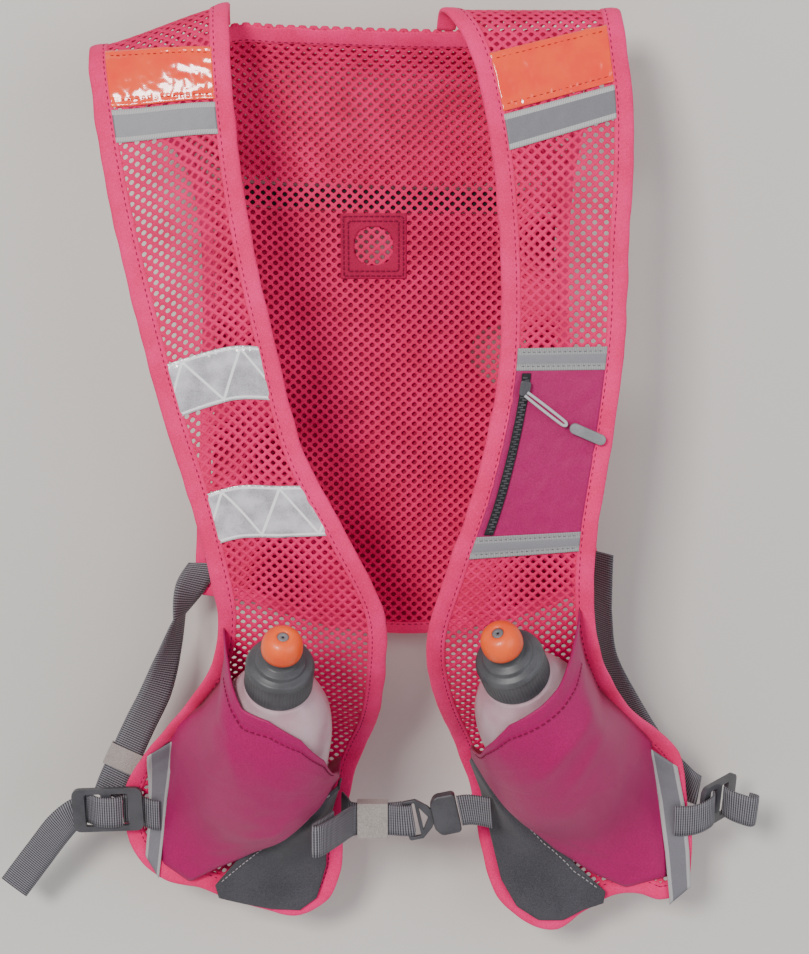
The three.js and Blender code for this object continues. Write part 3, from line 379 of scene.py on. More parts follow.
def lofted(bm, stations, ring, place, closed=False):
    # a tube of ring points carried along stations; place(i, k) gives each point
    made = bmesh.ops.create_grid(bm, x_segments=stations - 1, y_segments=ring, size=0.5)["verts"]
    for vert in made:
        i, k = round((vert.co.x + 0.5) * (stations - 1)), round((vert.co.y + 0.5) * ring)
        vert.co = place(i, k % ring)
    edges = list({edge for vert in made for edge in vert.link_edges})
    made = list({vert for edge in edges for vert in edge.verts})
    bmesh.ops.remove_doubles(bm, verts=made, dist=1e-5)
    if not closed:
        open_ = [edge for edge in bm.edges if edge.is_boundary]
        bmesh.ops.holes_fill(bm, edges=open_, sides=0)
    bmesh.ops.recalc_face_normals(bm, faces=bm.faces[:])


# cloth finishes
def knitFinish(name, dark, light, gloss=0.6):
    made = Finish(name, {"Roughness": gloss, "Specular IOR Level": 0.3, "Sheen Weight": 0.04,
                         "Sheen Roughness": 0.45})
    loops, fuzz, patch = made.cells(1700), made.noise(2600, 3), made.noise(60, 2)
    share = (fuzz * 0.6 + patch * 0.4).ramp(0.32, 0.68)
    made.done({"Base Color": made.tint(share, paint(*dark), paint(*light)),
               "Normal": made.relief(loops * 0.7 + fuzz * 0.3, 0.00035, 0.55)})
    return made.material


def wovenFinish(name, dark, light, pitch, gloss=0.7, patches=0.35, depth=0.0002, sheen=0.25):
    # fine plain cloth: two sets of threads across each other, in mm of pitch
    made = Finish(name, {"Roughness": gloss, "Specular IOR Level": 0.3, "Sheen Weight": sheen,
                         "Sheen Roughness": 0.5})
    split = made.node("ShaderNodeSeparateXYZ", {}, {0: made.position})
    x, z = split, Wire(made, split.socket.node.outputs[2])
    threads = made.wave(x, pitch * mm) * made.wave(z, pitch * mm)
    fuzz, patch = made.noise(1500, 3), made.noise(45, 3)
    share = (fuzz * (1 - patches) + patch * patches + threads * 0.12).ramp(0.34, 0.72)
    made.done({"Base Color": made.tint(share, paint(*dark), paint(*light)),
               "Normal": made.relief(threads * 0.5 + fuzz * 0.5, depth, 0.6)})
    return made.material


def threadFinish(name, colour):
    made = Finish(name, {"Roughness": 0.7, "Specular IOR Level": 0.3})
    fuzz = made.noise(4000, 2)
    made.done({"Base Color": made.tint(fuzz.ramp(0.3, 0.7),
                                       tuple(c * 0.7 for c in paint(*colour)[:3]) + (1,), paint(*colour)),
               "Normal": made.relief(fuzz, 0.0002, 0.5)})
    return made.material


knitPink = knitFinish("knitPink", (202, 0, 76), (238, 0, 104))
bindingPink = wovenFinish("bindingPink", (222, 6, 88), (250, 36, 124), 0.55, 0.72, 0.45, 0.0003, 0.08)
darkThread = threadFinish("darkThread", (132, 4, 62))
# pink cloth behind the back mesh, painted darker than its own hot pink: painted shade, so the mesh holes read deep
# red
behindPinkPaintedShade = wovenFinish("behindPinkPaintedShade", (150, 0, 56), (186, 0, 74), 0.6, sheen=0.05)
blackBand = wovenFinish("blackBand", (30, 14, 22), (46, 22, 32), 0.6)


# knitted mesh: a lattice of diamonds, each with a rounded hole
knit = {"wide": 5.9, "tall": 5.5, "strand": 0.88, "round": 0.55, "wall": 1.0, "crown": 0.28}


def knittedSheet(outline, warp=None, cutTop=None):
    bm = bmesh.new()
    xs, ys = [p[0] for p in outline], [p[1] for p in outline]
    reach = int(max(max(map(abs, xs)) / knit["wide"] + max(map(abs, ys)) / knit["tall"], 4)) + 2
    bmesh.ops.create_grid(bm, x_segments=2 * reach, y_segments=2 * reach, size=reach)
    turn = Matrix(((knit["wide"] / 2, knit["wide"] / 2, 0, 0), (knit["tall"] / 2, -knit["tall"] / 2, 0, 0),
                   (0, 0, 1, 0), (0, 0, 0, 1)))
    bmesh.ops.transform(bm, matrix=turn, verts=bm.verts[:])
    bmesh.ops.reverse_faces(bm, faces=bm.faces[:])
    lowX, highX, lowY, highY = min(xs) - 6, max(xs) + 6, min(ys) - 6, max(ys) + 6
    far = [v for v in bm.verts if not (lowX < v.co.x < highX and lowY < v.co.y < highY)]
    bmesh.ops.delete(bm, geom=far, context="VERTS")
    if warp:
        for vert in bm.verts:
            vert.co = warp(vert.co)
    kept = {vert for vert in bm.verts if within(outline, vert.co.x, vert.co.y)}
    bmesh.ops.delete(bm, geom=[f for f in bm.faces if not all(v in kept for v in f.verts)], context="FACES")
    bmesh.ops.delete(bm, geom=[v for v in bm.verts if not v.link_faces], context="VERTS")
    corners = set(bm.verts)
    holes = bm.faces[:]
    bmesh.ops.inset_individual(bm, faces=holes, thickness=knit["strand"], use_even_offset=True)
    rims = {vert for face in holes for vert in face.verts}
    bmesh.ops.delete(bm, geom=holes, context="FACES_ONLY")
    bmesh.ops.bevel(bm, geom=[v for v in rims if v.is_valid], offset=knit["round"], affect="VERTICES",
                    segments=1, profile=0.5, material=-1)
    for vert in corners:
        if vert.is_valid:
            vert.co.z += knit["crown"]
    if cutTop is not None:
        geometry = bm.verts[:] + bm.edges[:] + bm.faces[:]
        bmesh.ops.bisect_plane(bm, geom=geometry, dist=1e-4, plane_co=(0, cutTop[0], 0),
                               plane_no=(0, cutTop[1], 0), clear_outer=True)
    return bm


def outlineOf(side, width, spacing=2.5):
    line = edgeLine[side]
    numbers, _ = line.even(0, line.last, spacing)
    return [tuple(line.inset(number, width * inward[side])) for number in numbers]


for side in ("left", "right"):
    bm = knittedSheet(outlineOf(side, 3.0), cutTop=(crease, -1))
    bmesh.ops.translate(bm, vec=(0, 0, 1.0), verts=bm.verts[:])
    layDown(bm, onCloth)
    finishPiece(bm, side + "FrontMesh", knitPink, replaced=[side + "_front_panel"], slot="mesh",
                thickness=knit["wall"])
print("front mesh knitted")


# bindings: a folded tape sewn round each edge, as (width from the outer edge, height)
bindingSection = [
    (0.0, 0.7), (0.25, 1.5), (1.2, 2.15), (3.0, 2.4), (5.2, 2.4), (7.0, 2.15), (8.0, 1.75), (9.0, 1.9),
    (9.9, 1.55),
    (10.1, 0.9), (9.6, 0.1), (7.6, -0.3), (4.0, -0.45), (0.9, -0.25), (0.15, 0.15)]
stitch = {"spacing": 3.4, "length": 2.1, "thick": 0.55}


def sewn(bm, places, ways, length, thick):
    # one row of stitches, each a short rounded thread
    for place, way in zip(places, ways):
        turn = Matrix.Rotation(math.atan2(way[1], way[0]), 4, "Z")
        matrix = Matrix.Translation(place) @ turn @ Matrix.Diagonal((length, thick, thick, 1))
        bmesh.ops.create_uvsphere(bm, u_segments=6, v_segments=5, radius=0.5, matrix=matrix)


def seamStitches(name, line, first, last, width, side, height, mapping, material=None, spacing=None):
    bm = bmesh.new()
    numbers, _ = line.even(first, last, spacing or stitch["spacing"])
    sign = inward[side] if side else 1
    places, ways = [], []
    for a, b in zip(numbers, numbers[1:]):
        middle = (a + b) / 2
        place, way = line.inset(middle, width * sign), line.way(middle)
        places.append((place.x, place.y, height))
        ways.append((way.x, way.y))
    sewn(bm, places, ways, stitch["length"], stitch["thick"])
    layDown(bm, mapping)
    return finishPiece(bm, name, material or darkThread)


def foldedBinding(name, line, first, last, side, section, mapping, seed, replaced, spacing=1.6, lift=0.0):
    numbers, length = line.even(first, last, spacing)
    sign = inward[side] if side else 1
    bm = bmesh.new()
    steps = len(numbers)

    def place(i, k):
        width, height = section[k]
        run = length * i / (steps - 1)
        front = max(0.0, min(1.0, (height - 0.3) / 1.2))
        pucker = noise.noise(Vector((run / 5.0, width / 9.0,
                                     seed))) * 0.32 + noise.noise(Vector((run / 1.9, width / 3.0,
                                                                          seed + 7))) * 0.12
        slant = noise.noise(Vector(((run + width * 0.8) / 9.0, 3.0, seed + 3)))
        height += front * (pucker + 0.35 * max(0, slant) * math.sin(math.pi * min(width / 8.0, 1)))
        edge = noise.noise(Vector((run / 14.0, 5.0, seed))) * 0.55 * (1 - width / 10.5)
        spot = line.inset(numbers[i], (width + edge) * sign)
        return (spot.x, spot.y, height + lift)

    lofted(bm, steps, len(section), place)
    placed = onCloth([tuple(v.co) for v in bm.verts]) if mapping is None else mapping([tuple(v.co) for v in bm.verts])
    for vert, spot in zip(bm.verts, placed):
        vert.co = spot
    bmesh.ops.recalc_face_normals(bm, faces=bm.faces[:])
    return finishPiece(bm, name, bindingPink, replaced=replaced, slot="binding")


for side in ("left", "right"):
    line, tip = edgeLine[side], frontOutline[side]["tip"]
    foldedBinding(side + "ArmBinding", line, 0, tip - 0.02, side, bindingSection, None,
                  11 if side == "left" else 23,
                  [side + "_arm_binding"])
    foldedBinding(side + "NeckBinding", line, tip - 0.05, line.last, side, bindingSection, None,
                  37 if side == "left" else 51,
                  [side + "_neck_binding"], lift=0.1)
    seamStitches(side + "ArmStitches", line, 0.05, tip - 0.1, 7.9, side, 1.85, onCloth)
    seamStitches(side + "NeckStitches", line, tip + 0.1, line.last - 0.05, 7.9, side, 1.95, onCloth)
print("front edges bound")


# back panel, its second layer, the pocket cloth behind it and its bindings
backEdges = [  # down the cloth, left and right edge, shares
    (-0.646, -0.705, 0.95), (-0.6, -0.7, 0.93), (-0.52, -0.685, 0.87), (-0.42, -0.665, 0.825),
    (-0.32, -0.65, 0.8),
    (-0.22, -0.655, 0.8), (-0.15, -0.72, 0.83), (-0.08, -0.9, 0.9), (-0.028, -1.02, 0.938)]
backReader = smoothReader(backEdges)
back = {"top": crease - 0.75, "bottom": -0.646 * drop, "sag": 30, "binding": 7}


def backPlace(u, share, width=0.0, topGap=0.0, footGap=0.0):
    down = (back["top"] - topGap) * (1 - share) + (back["bottom"] + footGap) * share
    left, right = (value * halfSpan for value in backReader(down / drop))
    sag = back["sag"] * 4 * u * (1 - u) * max(0, (share - 0.4) / 0.6) ** 1.5
    return (left + width) * (1 - u) + (right - width) * u, down - sag


backOutline = ([backPlace(0, share, 2.5, 2, 2.5) for share in np.linspace(0, 1, 60)]
               + [backPlace(u, 1, 2.5, 2, 2.5) for u in np.linspace(0, 1, 60)]
               + [backPlace(1, share, 2.5, 2, 2.5) for share in np.linspace(1, 0, 60)]
               + [backPlace(u, 0, 2.5, -4, 2.5) for u in np.linspace(1, 0, 40)])
bm = knittedSheet(backOutline, cutTop=(crease, 1))
bmesh.ops.translate(bm, vec=(0, 0, 1.0), verts=bm.verts[:])
layDown(bm, onCloth)
backMesh = finishPiece(bm, "backMesh", knitPink, replaced=["back_panel"], slot="mesh", thickness=knit["wall"])
fewer = backMesh.modifiers.new("fewer", "DECIMATE")
fewer.ratio = 0.68

bm = knittedSheet([backPlace(u, share, 6, 4, 3) for u, share in
                   [(0.03, s) for s in np.linspace(0.0, 0.27, 20)]
                   + [(u, 0.27) for u in np.linspace(0.03, 0.97, 20)]
                   + [(0.97, s) for s in np.linspace(0.27, 0.0, 20)]
                   + [(u, 0.0) for u in np.linspace(0.97, 0.03, 20)]],
                  warp=lambda co: (co.x * 0.985, co.y * 0.985, 0))
bmesh.ops.translate(bm, vec=(0, 0, 3.1), verts=bm.verts[:])
layDown(bm, onCloth)
finishPiece(bm, "backSecondMesh", knitPink, replaced=["back_yoke"], slot="mesh", thickness=knit["wall"])


def clothSize(points):
    # longest width and length over the surface and its area, from a grid of points in mm
    across, down = np.diff(points, axis=1), np.diff(points, axis=0)
    area = np.linalg.norm(np.cross(across[:-1], down[:, :-1]), axis=2).sum()
    return [float(np.linalg.norm(step, axis=2).sum(axis=axis).max() * mm) for step,
            axis in ((across, 1), (down, 0))], float(area * mm * mm)


def declareCloth(piece, points, rests, holes=0.0):
    flat, area = clothSize(np.array(points, float))
    area - holes * mm * mm
    print("cloth", piece.name, [round(side, 3) for side in flat], round(area, 5))


def patchOnBack(name, across, down, fromShare, toShare, height, material, replaced=(), thickness=1.0,
                ripple=0.0, windows=()):
    bm = bmesh.new()
    bmesh.ops.create_grid(bm, x_segments=across, y_segments=down, size=0.5)
    for vert in bm.verts:
        u, share = vert.co.x + 0.5, fromShare + (toShare - fromShare) * (0.5 - vert.co.y)
        x, s = backPlace(0.02 + 0.96 * u, share, 4, 3, 3)
        vert.co = (x, s, height + ripple * noise.noise(Vector((x / 22, s / 22, 4))))
    placed = onCloth([tuple(vert.co) for vert in bm.verts])
    spread = np.array([tuple(v.co) for v in bm.verts]).reshape(down + 1, across + 1, 3)
    gone = []
    for vert, place in zip(bm.verts, placed):
        vert.co = place
    for x, z, radius in windows:
        near = [v for v in bm.verts if math.hypot(v.co.x - x, v.co.z - z) < radius]
        gone += near
    bmesh.ops.delete(bm, geom=list(set(gone)), context="VERTS")
    for x, z, radius in windows:
        for vert in bm.verts:
            away = math.hypot(vert.co.x - x, vert.co.z - z)
            if vert.is_boundary and away < radius + 3:
                vert.co.x, vert.co.z = x + (vert.co.x - x) * radius / away, z + (vert.co.z - z) * radius / away
    bmesh.ops.reverse_faces(bm, faces=[f for f in bm.faces if f.normal.y < 0])
    piece = finishPiece(bm, name, material, replaced=replaced, slot="back_cloth", thickness=thickness)
    declareCloth(piece, spread, ["back_panel"], sum(math.pi * hole[2] ** 2 for hole in windows))
    return piece


backWindows = [(4, -124, 10.5), (74, -185, 16.5)]
patchOnBack("backPocketBand", 40, 6, 0.272, 0.312, 3.2, blackBand, ["back_pocket_band"])
# the pocket cloth's darkened pink is painted shade behind the mesh
patchOnBack("backPocketCloth", 80, 80, 0.315, 0.995, 3.0, behindPinkPaintedShade, ["back_pocket"], windows=backWindows)


def seenFace(node):
    solid = nodes[node]
    place = solid.matrix_world
    return BVHTree.FromPolygons([tuple(place @ v.co * 1000) for v in solid.data.vertices],
                                [tuple(f.vertices) for f in solid.data.polygons])


def dashesOn(name, spots, material, length=2.0, thick=0.5, spacing=3.3):
    # spots are points in space; short threads lie along them
    points = np.array(spots)
    run = np.concatenate([[0], np.cumsum(np.linalg.norm(np.diff(points, axis=0), axis=1))])
    count = int(run[-1] / spacing)
    bm = bmesh.new()
    at = lambda d: Vector([np.interp(d, run, points[:, k]) for k in range(3)])
    for n in range(count):
        middle = run[-1] * (n + 0.5) / count
        a, b = at(middle - length / 2), at(middle + length / 2)
        turn = (b - a).to_track_quat("X", "Z").to_matrix().to_4x4()
        made = bmesh.ops.create_cube(bm, size=1)["verts"]
        bmesh.ops.scale(bm, vec=(length, thick, thick), verts=made)
        bmesh.ops.transform(bm, matrix=Matrix.Translation((a + b) / 2) @ turn, verts=made)
    return finishPiece(bm, name, material)


def seenDepth(node):
    tree = seenFace(node)

    def depth(x, z):
        hit = tree.ray_cast(Vector((x, -300, z)), Vector((0, 1, 0)))[0]
        if hit is None:
            near = tree.find_nearest(Vector((x, -60, z)))[0]
            hit = tree.find_nearest(Vector((x, near.y, z)))[0]
        return hit.y
    return depth


def squarePatch(name, middle, wide, window):
    bm = bmesh.new()
    bmesh.ops.create_grid(bm, x_segments=44, y_segments=44, size=0.5)
    placed = {}
    for vert in bm.verts:
        placed[vert] = (middle[0] + vert.co.x * wide, middle[1] + vert.co.y * wide)
    backY = seenDepth("back_panel")
    for vert, (x, z) in placed.items():
        vert.co = (x, backY(x, z) - 0.5, z)
    bmesh.ops.delete(bm, geom=[v for v in bm.verts if math.hypot(v.co.x - middle[0],
                                                                 v.co.z - middle[1]) < window],
                                                                 context="VERTS")
    if sum(face.normal.y for face in bm.faces) > 0:
        bmesh.ops.reverse_faces(bm, faces=bm.faces[:])
    # the patch takes the same darkened pink, painted shade included
    finishPiece(bm, name, behindPinkPaintedShade, slot="back_cloth", thickness=0.5)
    for inset in (1.6, 4.2):
        half = wide / 2 - inset
        corners = [(-half, -half), (half, -half), (half, half), (-half, half), (-half, -half)]
        spots = [(middle[0] + a[0] + (b[0] - a[0]) * t, middle[1] + a[1] + (b[1] - a[1]) * t)
                 for a, b in zip(corners, corners[1:]) for t in np.linspace(0, 1, 12)]
        dashesOn(name + "Stitches%d" % round(inset * 10), [(x, backY(x, z) - 0.9, z) for x, z in spots],
                 darkThread, spacing=2.9)


def backBinding(name, spots, seed, replaced, width):
    # spots(share, width) gives the plane place; the section is as on the front, but narrower
    fine = [spots(share, 0) for share in np.linspace(0, 1, 400)]
    run = np.concatenate([[0], np.cumsum([math.dist(a, b) for a, b in zip(fine, fine[1:])])])
    steps = round(run[-1] / 1.8)
    shares = np.interp(np.linspace(0, run[-1], steps + 1), run, np.linspace(0, 1, 400))
    section = [(w * width / 10, h - 0.4 if h > 0.9 else h) for w, h in bindingSection]
    bm = bmesh.new()

    def place(i, k):
        w, h = section[k]
        down = run[-1] * i / steps
        pucker = noise.noise(Vector((down / 5, w / 9, seed))) * 0.28 + noise.noise(Vector((down / 2, w / 3,
                                                                                           seed + 5))) * 0.1
        x, s = spots(shares[i], w + noise.noise(Vector((down / 14, 5, seed))) * 0.5)
        return (x, s, h + pucker * (1 if h > 0.8 else 0.4))

    lofted(bm, steps + 1, len(section), place)
    placed = onCloth([tuple(v.co) for v in bm.verts])
    for vert, spot in zip(bm.verts, placed):
        vert.co = spot
    bmesh.ops.recalc_face_normals(bm, faces=bm.faces[:])
    finishPiece(bm, name, bindingPink, replaced=replaced, slot="binding")
    bm = bmesh.new()
    count = round(run[-1] / stitch["spacing"])
    for height in (-0.25, 1.5):
        for n in range(count):
            share = np.interp((n + 0.5) * run[-1] / count, run, np.linspace(0, 1, 400))
            here, there = spots(share, width * 0.8), spots(min(share + 0.004, 1), width * 0.8)
            sewn(bm, [(here[0], here[1], height)], [(there[0] - here[0], there[1] - here[1])],
                 stitch["length"], 0.5)
    layDown(bm, onCloth)
    finishPiece(bm, name + "Stitches", darkThread)


squarePatch("windowPatch", (4, -124), 36, 10.5)
backBinding("backLeftBinding", lambda share, w: backPlace(0, share, w, 1, 0), 61, ["back_left_binding"], 7)
backBinding("backRightBinding", lambda share, w: backPlace(1, share, w, 1, 0), 67, ["back_right_binding"], 7)
backBinding("neckBackBinding", lambda share, w: (lambda p: (p[0], p[1] - w))(backPlace(share, 0, 0, 0, 0)),
            71, ["neck_back_binding"], 7.5)
backBinding("hemBinding", lambda share, w: (lambda p: (p[0], p[1] + w))(backPlace(share, 1, 0, 0, 0)), 73,
            ["hem_binding"], 7)
print("back made")


# tapes across the front panels
def tapeSheet(name, side, arm, neck, material, replaced, height=2.0, thickness=0.6, across=64, down=16,
              slot=None,
              grooves=(), puckers=0.0, seed=1.0, margin=9.0, lines=None):
    bm = bmesh.new()
    bmesh.ops.create_grid(bm, x_segments=across, y_segments=down, size=0.5)
    layers = {key: bm.verts.layers.float.new(key) for key in ("run", "share")}
    ends = {}
    for vert in bm.verts:
        u, share = vert.co.x + 0.5, round(0.5 - vert.co.y, 6)
        if share not in ends:
            ends[share] = (edgeAt(side, False, (arm[0] + (arm[1] - arm[0]) * share) * drop, margin),
                           edgeAt(side, True, (neck[0] + (neck[1] - neck[0]) * share) * drop, margin))
        first, second = ends[share]
        spot = first.lerp(second, u)
        run = u * (second - first).length
        tall = (arm[1] - arm[0]) * drop
        rise = puckers * (noise.noise(Vector((run / 7, share * tall / 7,
                                              seed))) + 0.4
                                              * noise.noise(Vector((run / 2.6, share * tall / 3, seed + 4))))
        for groove in grooves:
            near = math.exp(-((share - groove) * tall / 1.1) ** 2)
            rise -= near * (0.3 + 0.12 * math.sin(run * 2 * math.pi / stitch["spacing"]))
        if lines:
            rise += 0.22 * lines(run, share)
        vert[layers["run"]], vert[layers["share"]] = run, share
        vert.co = (spot.x, spot.y, height + rise)
    layDown(bm, onCloth)
    if sum(f.normal.y for f in bm.faces) > 0:
        bmesh.ops.reverse_faces(bm, faces=bm.faces[:])
    spread = np.array([tuple(v.co) for v in bm.verts]).reshape(down + 1, across + 1, 3)
    piece = finishPiece(bm, name, material, replaced=replaced, slot=slot, thickness=thickness)
    if slot == "pocket_cloth":
        declareCloth(piece, spread, [side + "_front_panel"])
    return ends


def rowStitches(name, ends, shares, height, material, mapping=None, spacing=None, length=None, thick=None):
    bm = bmesh.new()
    keys = sorted(ends)
    for share in shares:
        key = min(keys, key=lambda k: abs(k - share))
        first, second = ends[key]
        whole = (second - first).length
        count = round((whole - 4) / (spacing or stitch["spacing"]))
        way = (second - first).normalized()
        for n in range(count):
            spot = first.lerp(second, (2 + (n + 0.5) * (whole - 4) / count) / whole)
            sewn(bm, [(spot.x, spot.y, height)], [(way.x, way.y)], length or stitch["length"], thick or 0.5)
    layDown(bm, mapping or onCloth)
    return finishPiece(bm, name, material)


def bandFinish(name, middle, edge, width=0.16, gloss=0.45):
    # woven band with ribbed lighter edges; the middle is fine and even
    made = Finish(name, {"Roughness": gloss, "Specular IOR Level": 0.5})
    share, run = made.along("share"), made.along("run")
    side = (made.maths("ABSOLUTE", share - 0.5, 0)).over(0.5 - width)
    ribs = made.wave(run, 0.9)
    grit = made.noise(1800, 3)
    core = made.tint(grit.ramp(0.3, 0.7), tuple(c * 0.85 for c in paint(*middle)[:3]) + (1,), paint(*middle))
    rim = made.tint(ribs, tuple(c * 0.55 for c in paint(*edge)[:3]) + (1,), paint(*edge))
    made.done({"Base Color": made.tint(side, core, rim),
               "Normal": made.relief(ribs * side * 0.8 + grit * 0.2, 0.0003, 0.5)})
    return made.material


def vinylFinish():
    made = Finish("orangeVinyl",
                  {"Roughness": 0.16, "Specular IOR Level": 0.6, "Coat Weight": 0.8, "Coat Roughness": 0.05})
    cloud, fleck = made.noise(70, 3), made.noise(900, 2)
    made.done({"Base Color": made.tint(cloud.ramp(0.3, 0.7), paint(250, 44, 0), paint(255, 72, 8)),
               "Normal": made.relief(cloud * 0.8 + fleck * 0.1, 0.0008, 0.35)})
    return made.material


def clearFinish():
    # prismatic film under clear vinyl, with white ruled lines
    made = Finish("clearTape", {"Roughness": 0.14, "Specular IOR Level": 0.6, "Coat Weight": 0.9,
                                "Coat Roughness": 0.04})
    share, run = made.along("share"), made.along("run")
    slope = made.maths("PINGPONG", run - 7.5, 15.0) / 15.0
    zigzag = 1 - (made.maths("ABSOLUTE", share - slope * 0.9 - 0.05, 0)).ramp(0.035, 0.055)
    rails = (made.maths("ABSOLUTE", share - 0.5,
                        0)).ramp(0.425, 0.44) * (1 - (made.maths("ABSOLUTE", share - 0.5,
                                                                 0)).ramp(0.465, 0.475))
    rule = zigzag.most(rails)
    cells = made.cells(1400, feature="F1")
    cloud = made.noise(90, 3)
    film = made.tint(cloud.ramp(0.3, 0.7), paint(138, 132, 140), paint(198, 192, 200))
    film = made.tint(cells.ramp(0.1, 0.6) * 0.25, film, paint(240, 238, 242))
    made.done({"Base Color": made.tint(rule, film, paint(244, 240, 244)),
               "Normal": made.relief(cloud * 0.7 + rule * 0.3, 0.0007, 0.35)})
    return made.material


orangeVinyl, reflectiveBand, clearTape = vinylFinish(), bandFinish("reflectiveBand", (112, 110, 117),
                                                                   (186, 184, 184)), clearFinish()
greyBand = bandFinish("greyBand", (128, 126, 132), (160, 158, 160), 0.3, 0.6)
redThread = threadFinish("redThread", (170, 24, 24))
greyThread = threadFinish("greyThread", (92, 90, 96))
for side, orange, grey in (("left", ((0.022, 0.088), (0.062, 0.116)), ((0.091, 0.126), (0.119, 0.152))),
                           ("right", ((0.034, 0.095), (0.066, 0.125)), ((0.098, 0.132), (0.128, 0.164)))):
    ends = tapeSheet(side + "OrangeTape", side, *orange, orangeVinyl, [side + "_shoulder_tape"], height=2.2,
                     across=80, down=28,
                     grooves=(0.1, 0.9), puckers=0.42, seed=5 if side == "left" else 9, slot="vinyl_tape")
    rowStitches(side + "OrangeTapeStitches", ends, (0.1, 0.9), 2.0, redThread)
    tapeSheet(side + "GreyTape", side, *grey, reflectiveBand, [side + "_shoulder_reflector"], height=2.1,
              slot="reflective_tape",
              puckers=0.12, seed=13)
for name, arm, neck, node in (("upperClearTape", (0.368, 0.427), (0.37, 0.424), "left_chest_tape_upper"),
                              ("lowerClearTape", (0.516, 0.572), (0.512, 0.564), "left_chest_tape_lower")):
    tapeSheet(name, "left", arm, neck, clearTape, [node], height=2.0, across=80, down=28, puckers=0.3,
              seed=17, slot="clear_tape",
              grooves=(0.045, 0.955))
print("tapes laid")


# zipped pocket on the right front
magenta = wovenFinish("magentaCloth", (150, 0, 80), (172, 2, 96), 0.42, 0.5, 0.12, 0.00015, 0.04)
for name, arm, neck, node in (("zipTopTape", (0.363, 0.387), (0.365, 0.388), "zip_pocket_top_tape"),
                              ("zipFootTape", (0.556, 0.577), (0.562, 0.586), "zip_pocket_bottom_tape")):
    ends = tapeSheet(name, "right", arm, neck, greyBand, [node], height=2.5, puckers=0.1, seed=21,
                     slot="grey_tape", grooves=(0.2, 0.8))
    rowStitches(name + "Stitches", ends, (0.2, 0.8), 2.3, greyThread, spacing=2.6, length=1.7, thick=0.4)
tapeSheet("zipPocketCloth", "right", (0.385, 0.558), (0.386, 0.564), magenta, ["zip_pocket"], height=2.1,
          across=40, down=52,
          puckers=0.35, seed=29, slot="pocket_cloth", thickness=0.8)


# straps: rows are x, y, z, tilt, yaw in mm and degrees
def alongRows(rows, t):
    i = min(int(t), len(rows) - 2)
    f = t - i
    rows = np.array(rows, float)
    before, here, there, after = rows[max(i - 1, 0)], rows[i], rows[i + 1], rows[min(i + 2, len(rows) - 1)]
    bent = 0.5 * (2 * here + (there - before) * f + (2 * before - 5 * here + 4 * there - after) * f ** 2
                  + (3 * here - before - 3 * there + after) * f ** 3)
    turn = here[3:] + (there[3:] - here[3:]) * f
    return Vector(bent[:3]), math.radians(turn[0]), math.radians(turn[1])


web = {"width": 18, "wall": 1.6, "rib": 1.3, "step": 0.44, "across": 6}


def webbingStrap(name, rows, replaced, material):
    fine = [alongRows(rows, t) for t in np.linspace(0, len(rows) - 1, 500)]
    run = np.concatenate([[0], np.cumsum([(b[0] - a[0]).length for a, b in zip(fine, fine[1:])])])
    stations = round(run[-1] / web["step"])
    across = web["across"]
    bm = bmesh.new()
    layers = {key: bm.verts.layers.float.new(key) for key in ("run", "share")}
    rings = []
    for i in range(stations + 1):
        down = run[-1] * i / stations
        t = float(np.interp(down, run, np.linspace(0, len(rows) - 1, 500)))
        spot, tilt, yaw = alongRows(rows, t)
        ahead = alongRows(rows, min(t + 0.02, len(rows) - 1))[0] - alongRows(rows, max(t - 0.02, 0))[0]
        wide = Vector((math.sin(tilt) * math.cos(yaw), math.sin(yaw), math.cos(tilt) * math.cos(yaw)))
        face = ahead.cross(wide).normalized()
        rib = math.sin(down * 2 * math.pi / web["rib"])
        ring = []
        for k in range(2 * across):
            front = k < across
            share = (k if front else 2 * across - 1 - k) / (across - 1)
            rim = abs(share - 0.5) * 2
            half = web["width"] / 2 + 0.22 * rib * (rim > 0.9)
            height = (web["wall"] / 2 - 0.25 * (rim > 0.95) + 0.09 * rib) * (1 if front else -1)
            vert = bm.verts.new(spot + wide * ((share - 0.5) * 2 * half) + face * height)
            vert[layers["run"]], vert[layers["share"]] = down, share
            ring.append(vert)
        rings.append(ring)
    for a, b in zip(rings, rings[1:]):
        for k in range(len(a)):
            n = (k + 1) % len(a)
            bm.faces.new((a[k], a[n], b[n], b[k]))
    bm.faces.new(rings[0][::-1])
    bm.faces.new(rings[-1])
    bmesh.ops.recalc_face_normals(bm, faces=bm.faces[:])
    return finishPiece(bm, name, material, replaced=replaced, slot="webbing")


def webbingFinish():
    made = Finish("webbingGrey", {"Roughness": 0.55, "Specular IOR Level": 0.4})
    run, share = made.along("run"), made.along("share")
    ribs = made.wave(run, web["rib"])
    weft = made.wave(share, 0.085)
    grit = made.noise(1500, 3)
    mix = (ribs * 0.7 + weft * 0.18 + grit * 0.25).ramp(0.25, 0.85)
    made.done({"Base Color": made.tint(mix, paint(44, 42, 47), paint(126, 124, 130)),
               "Normal": made.relief(ribs * 0.7 + weft * 0.3, 0.0003, 0.6)})
    return made.material


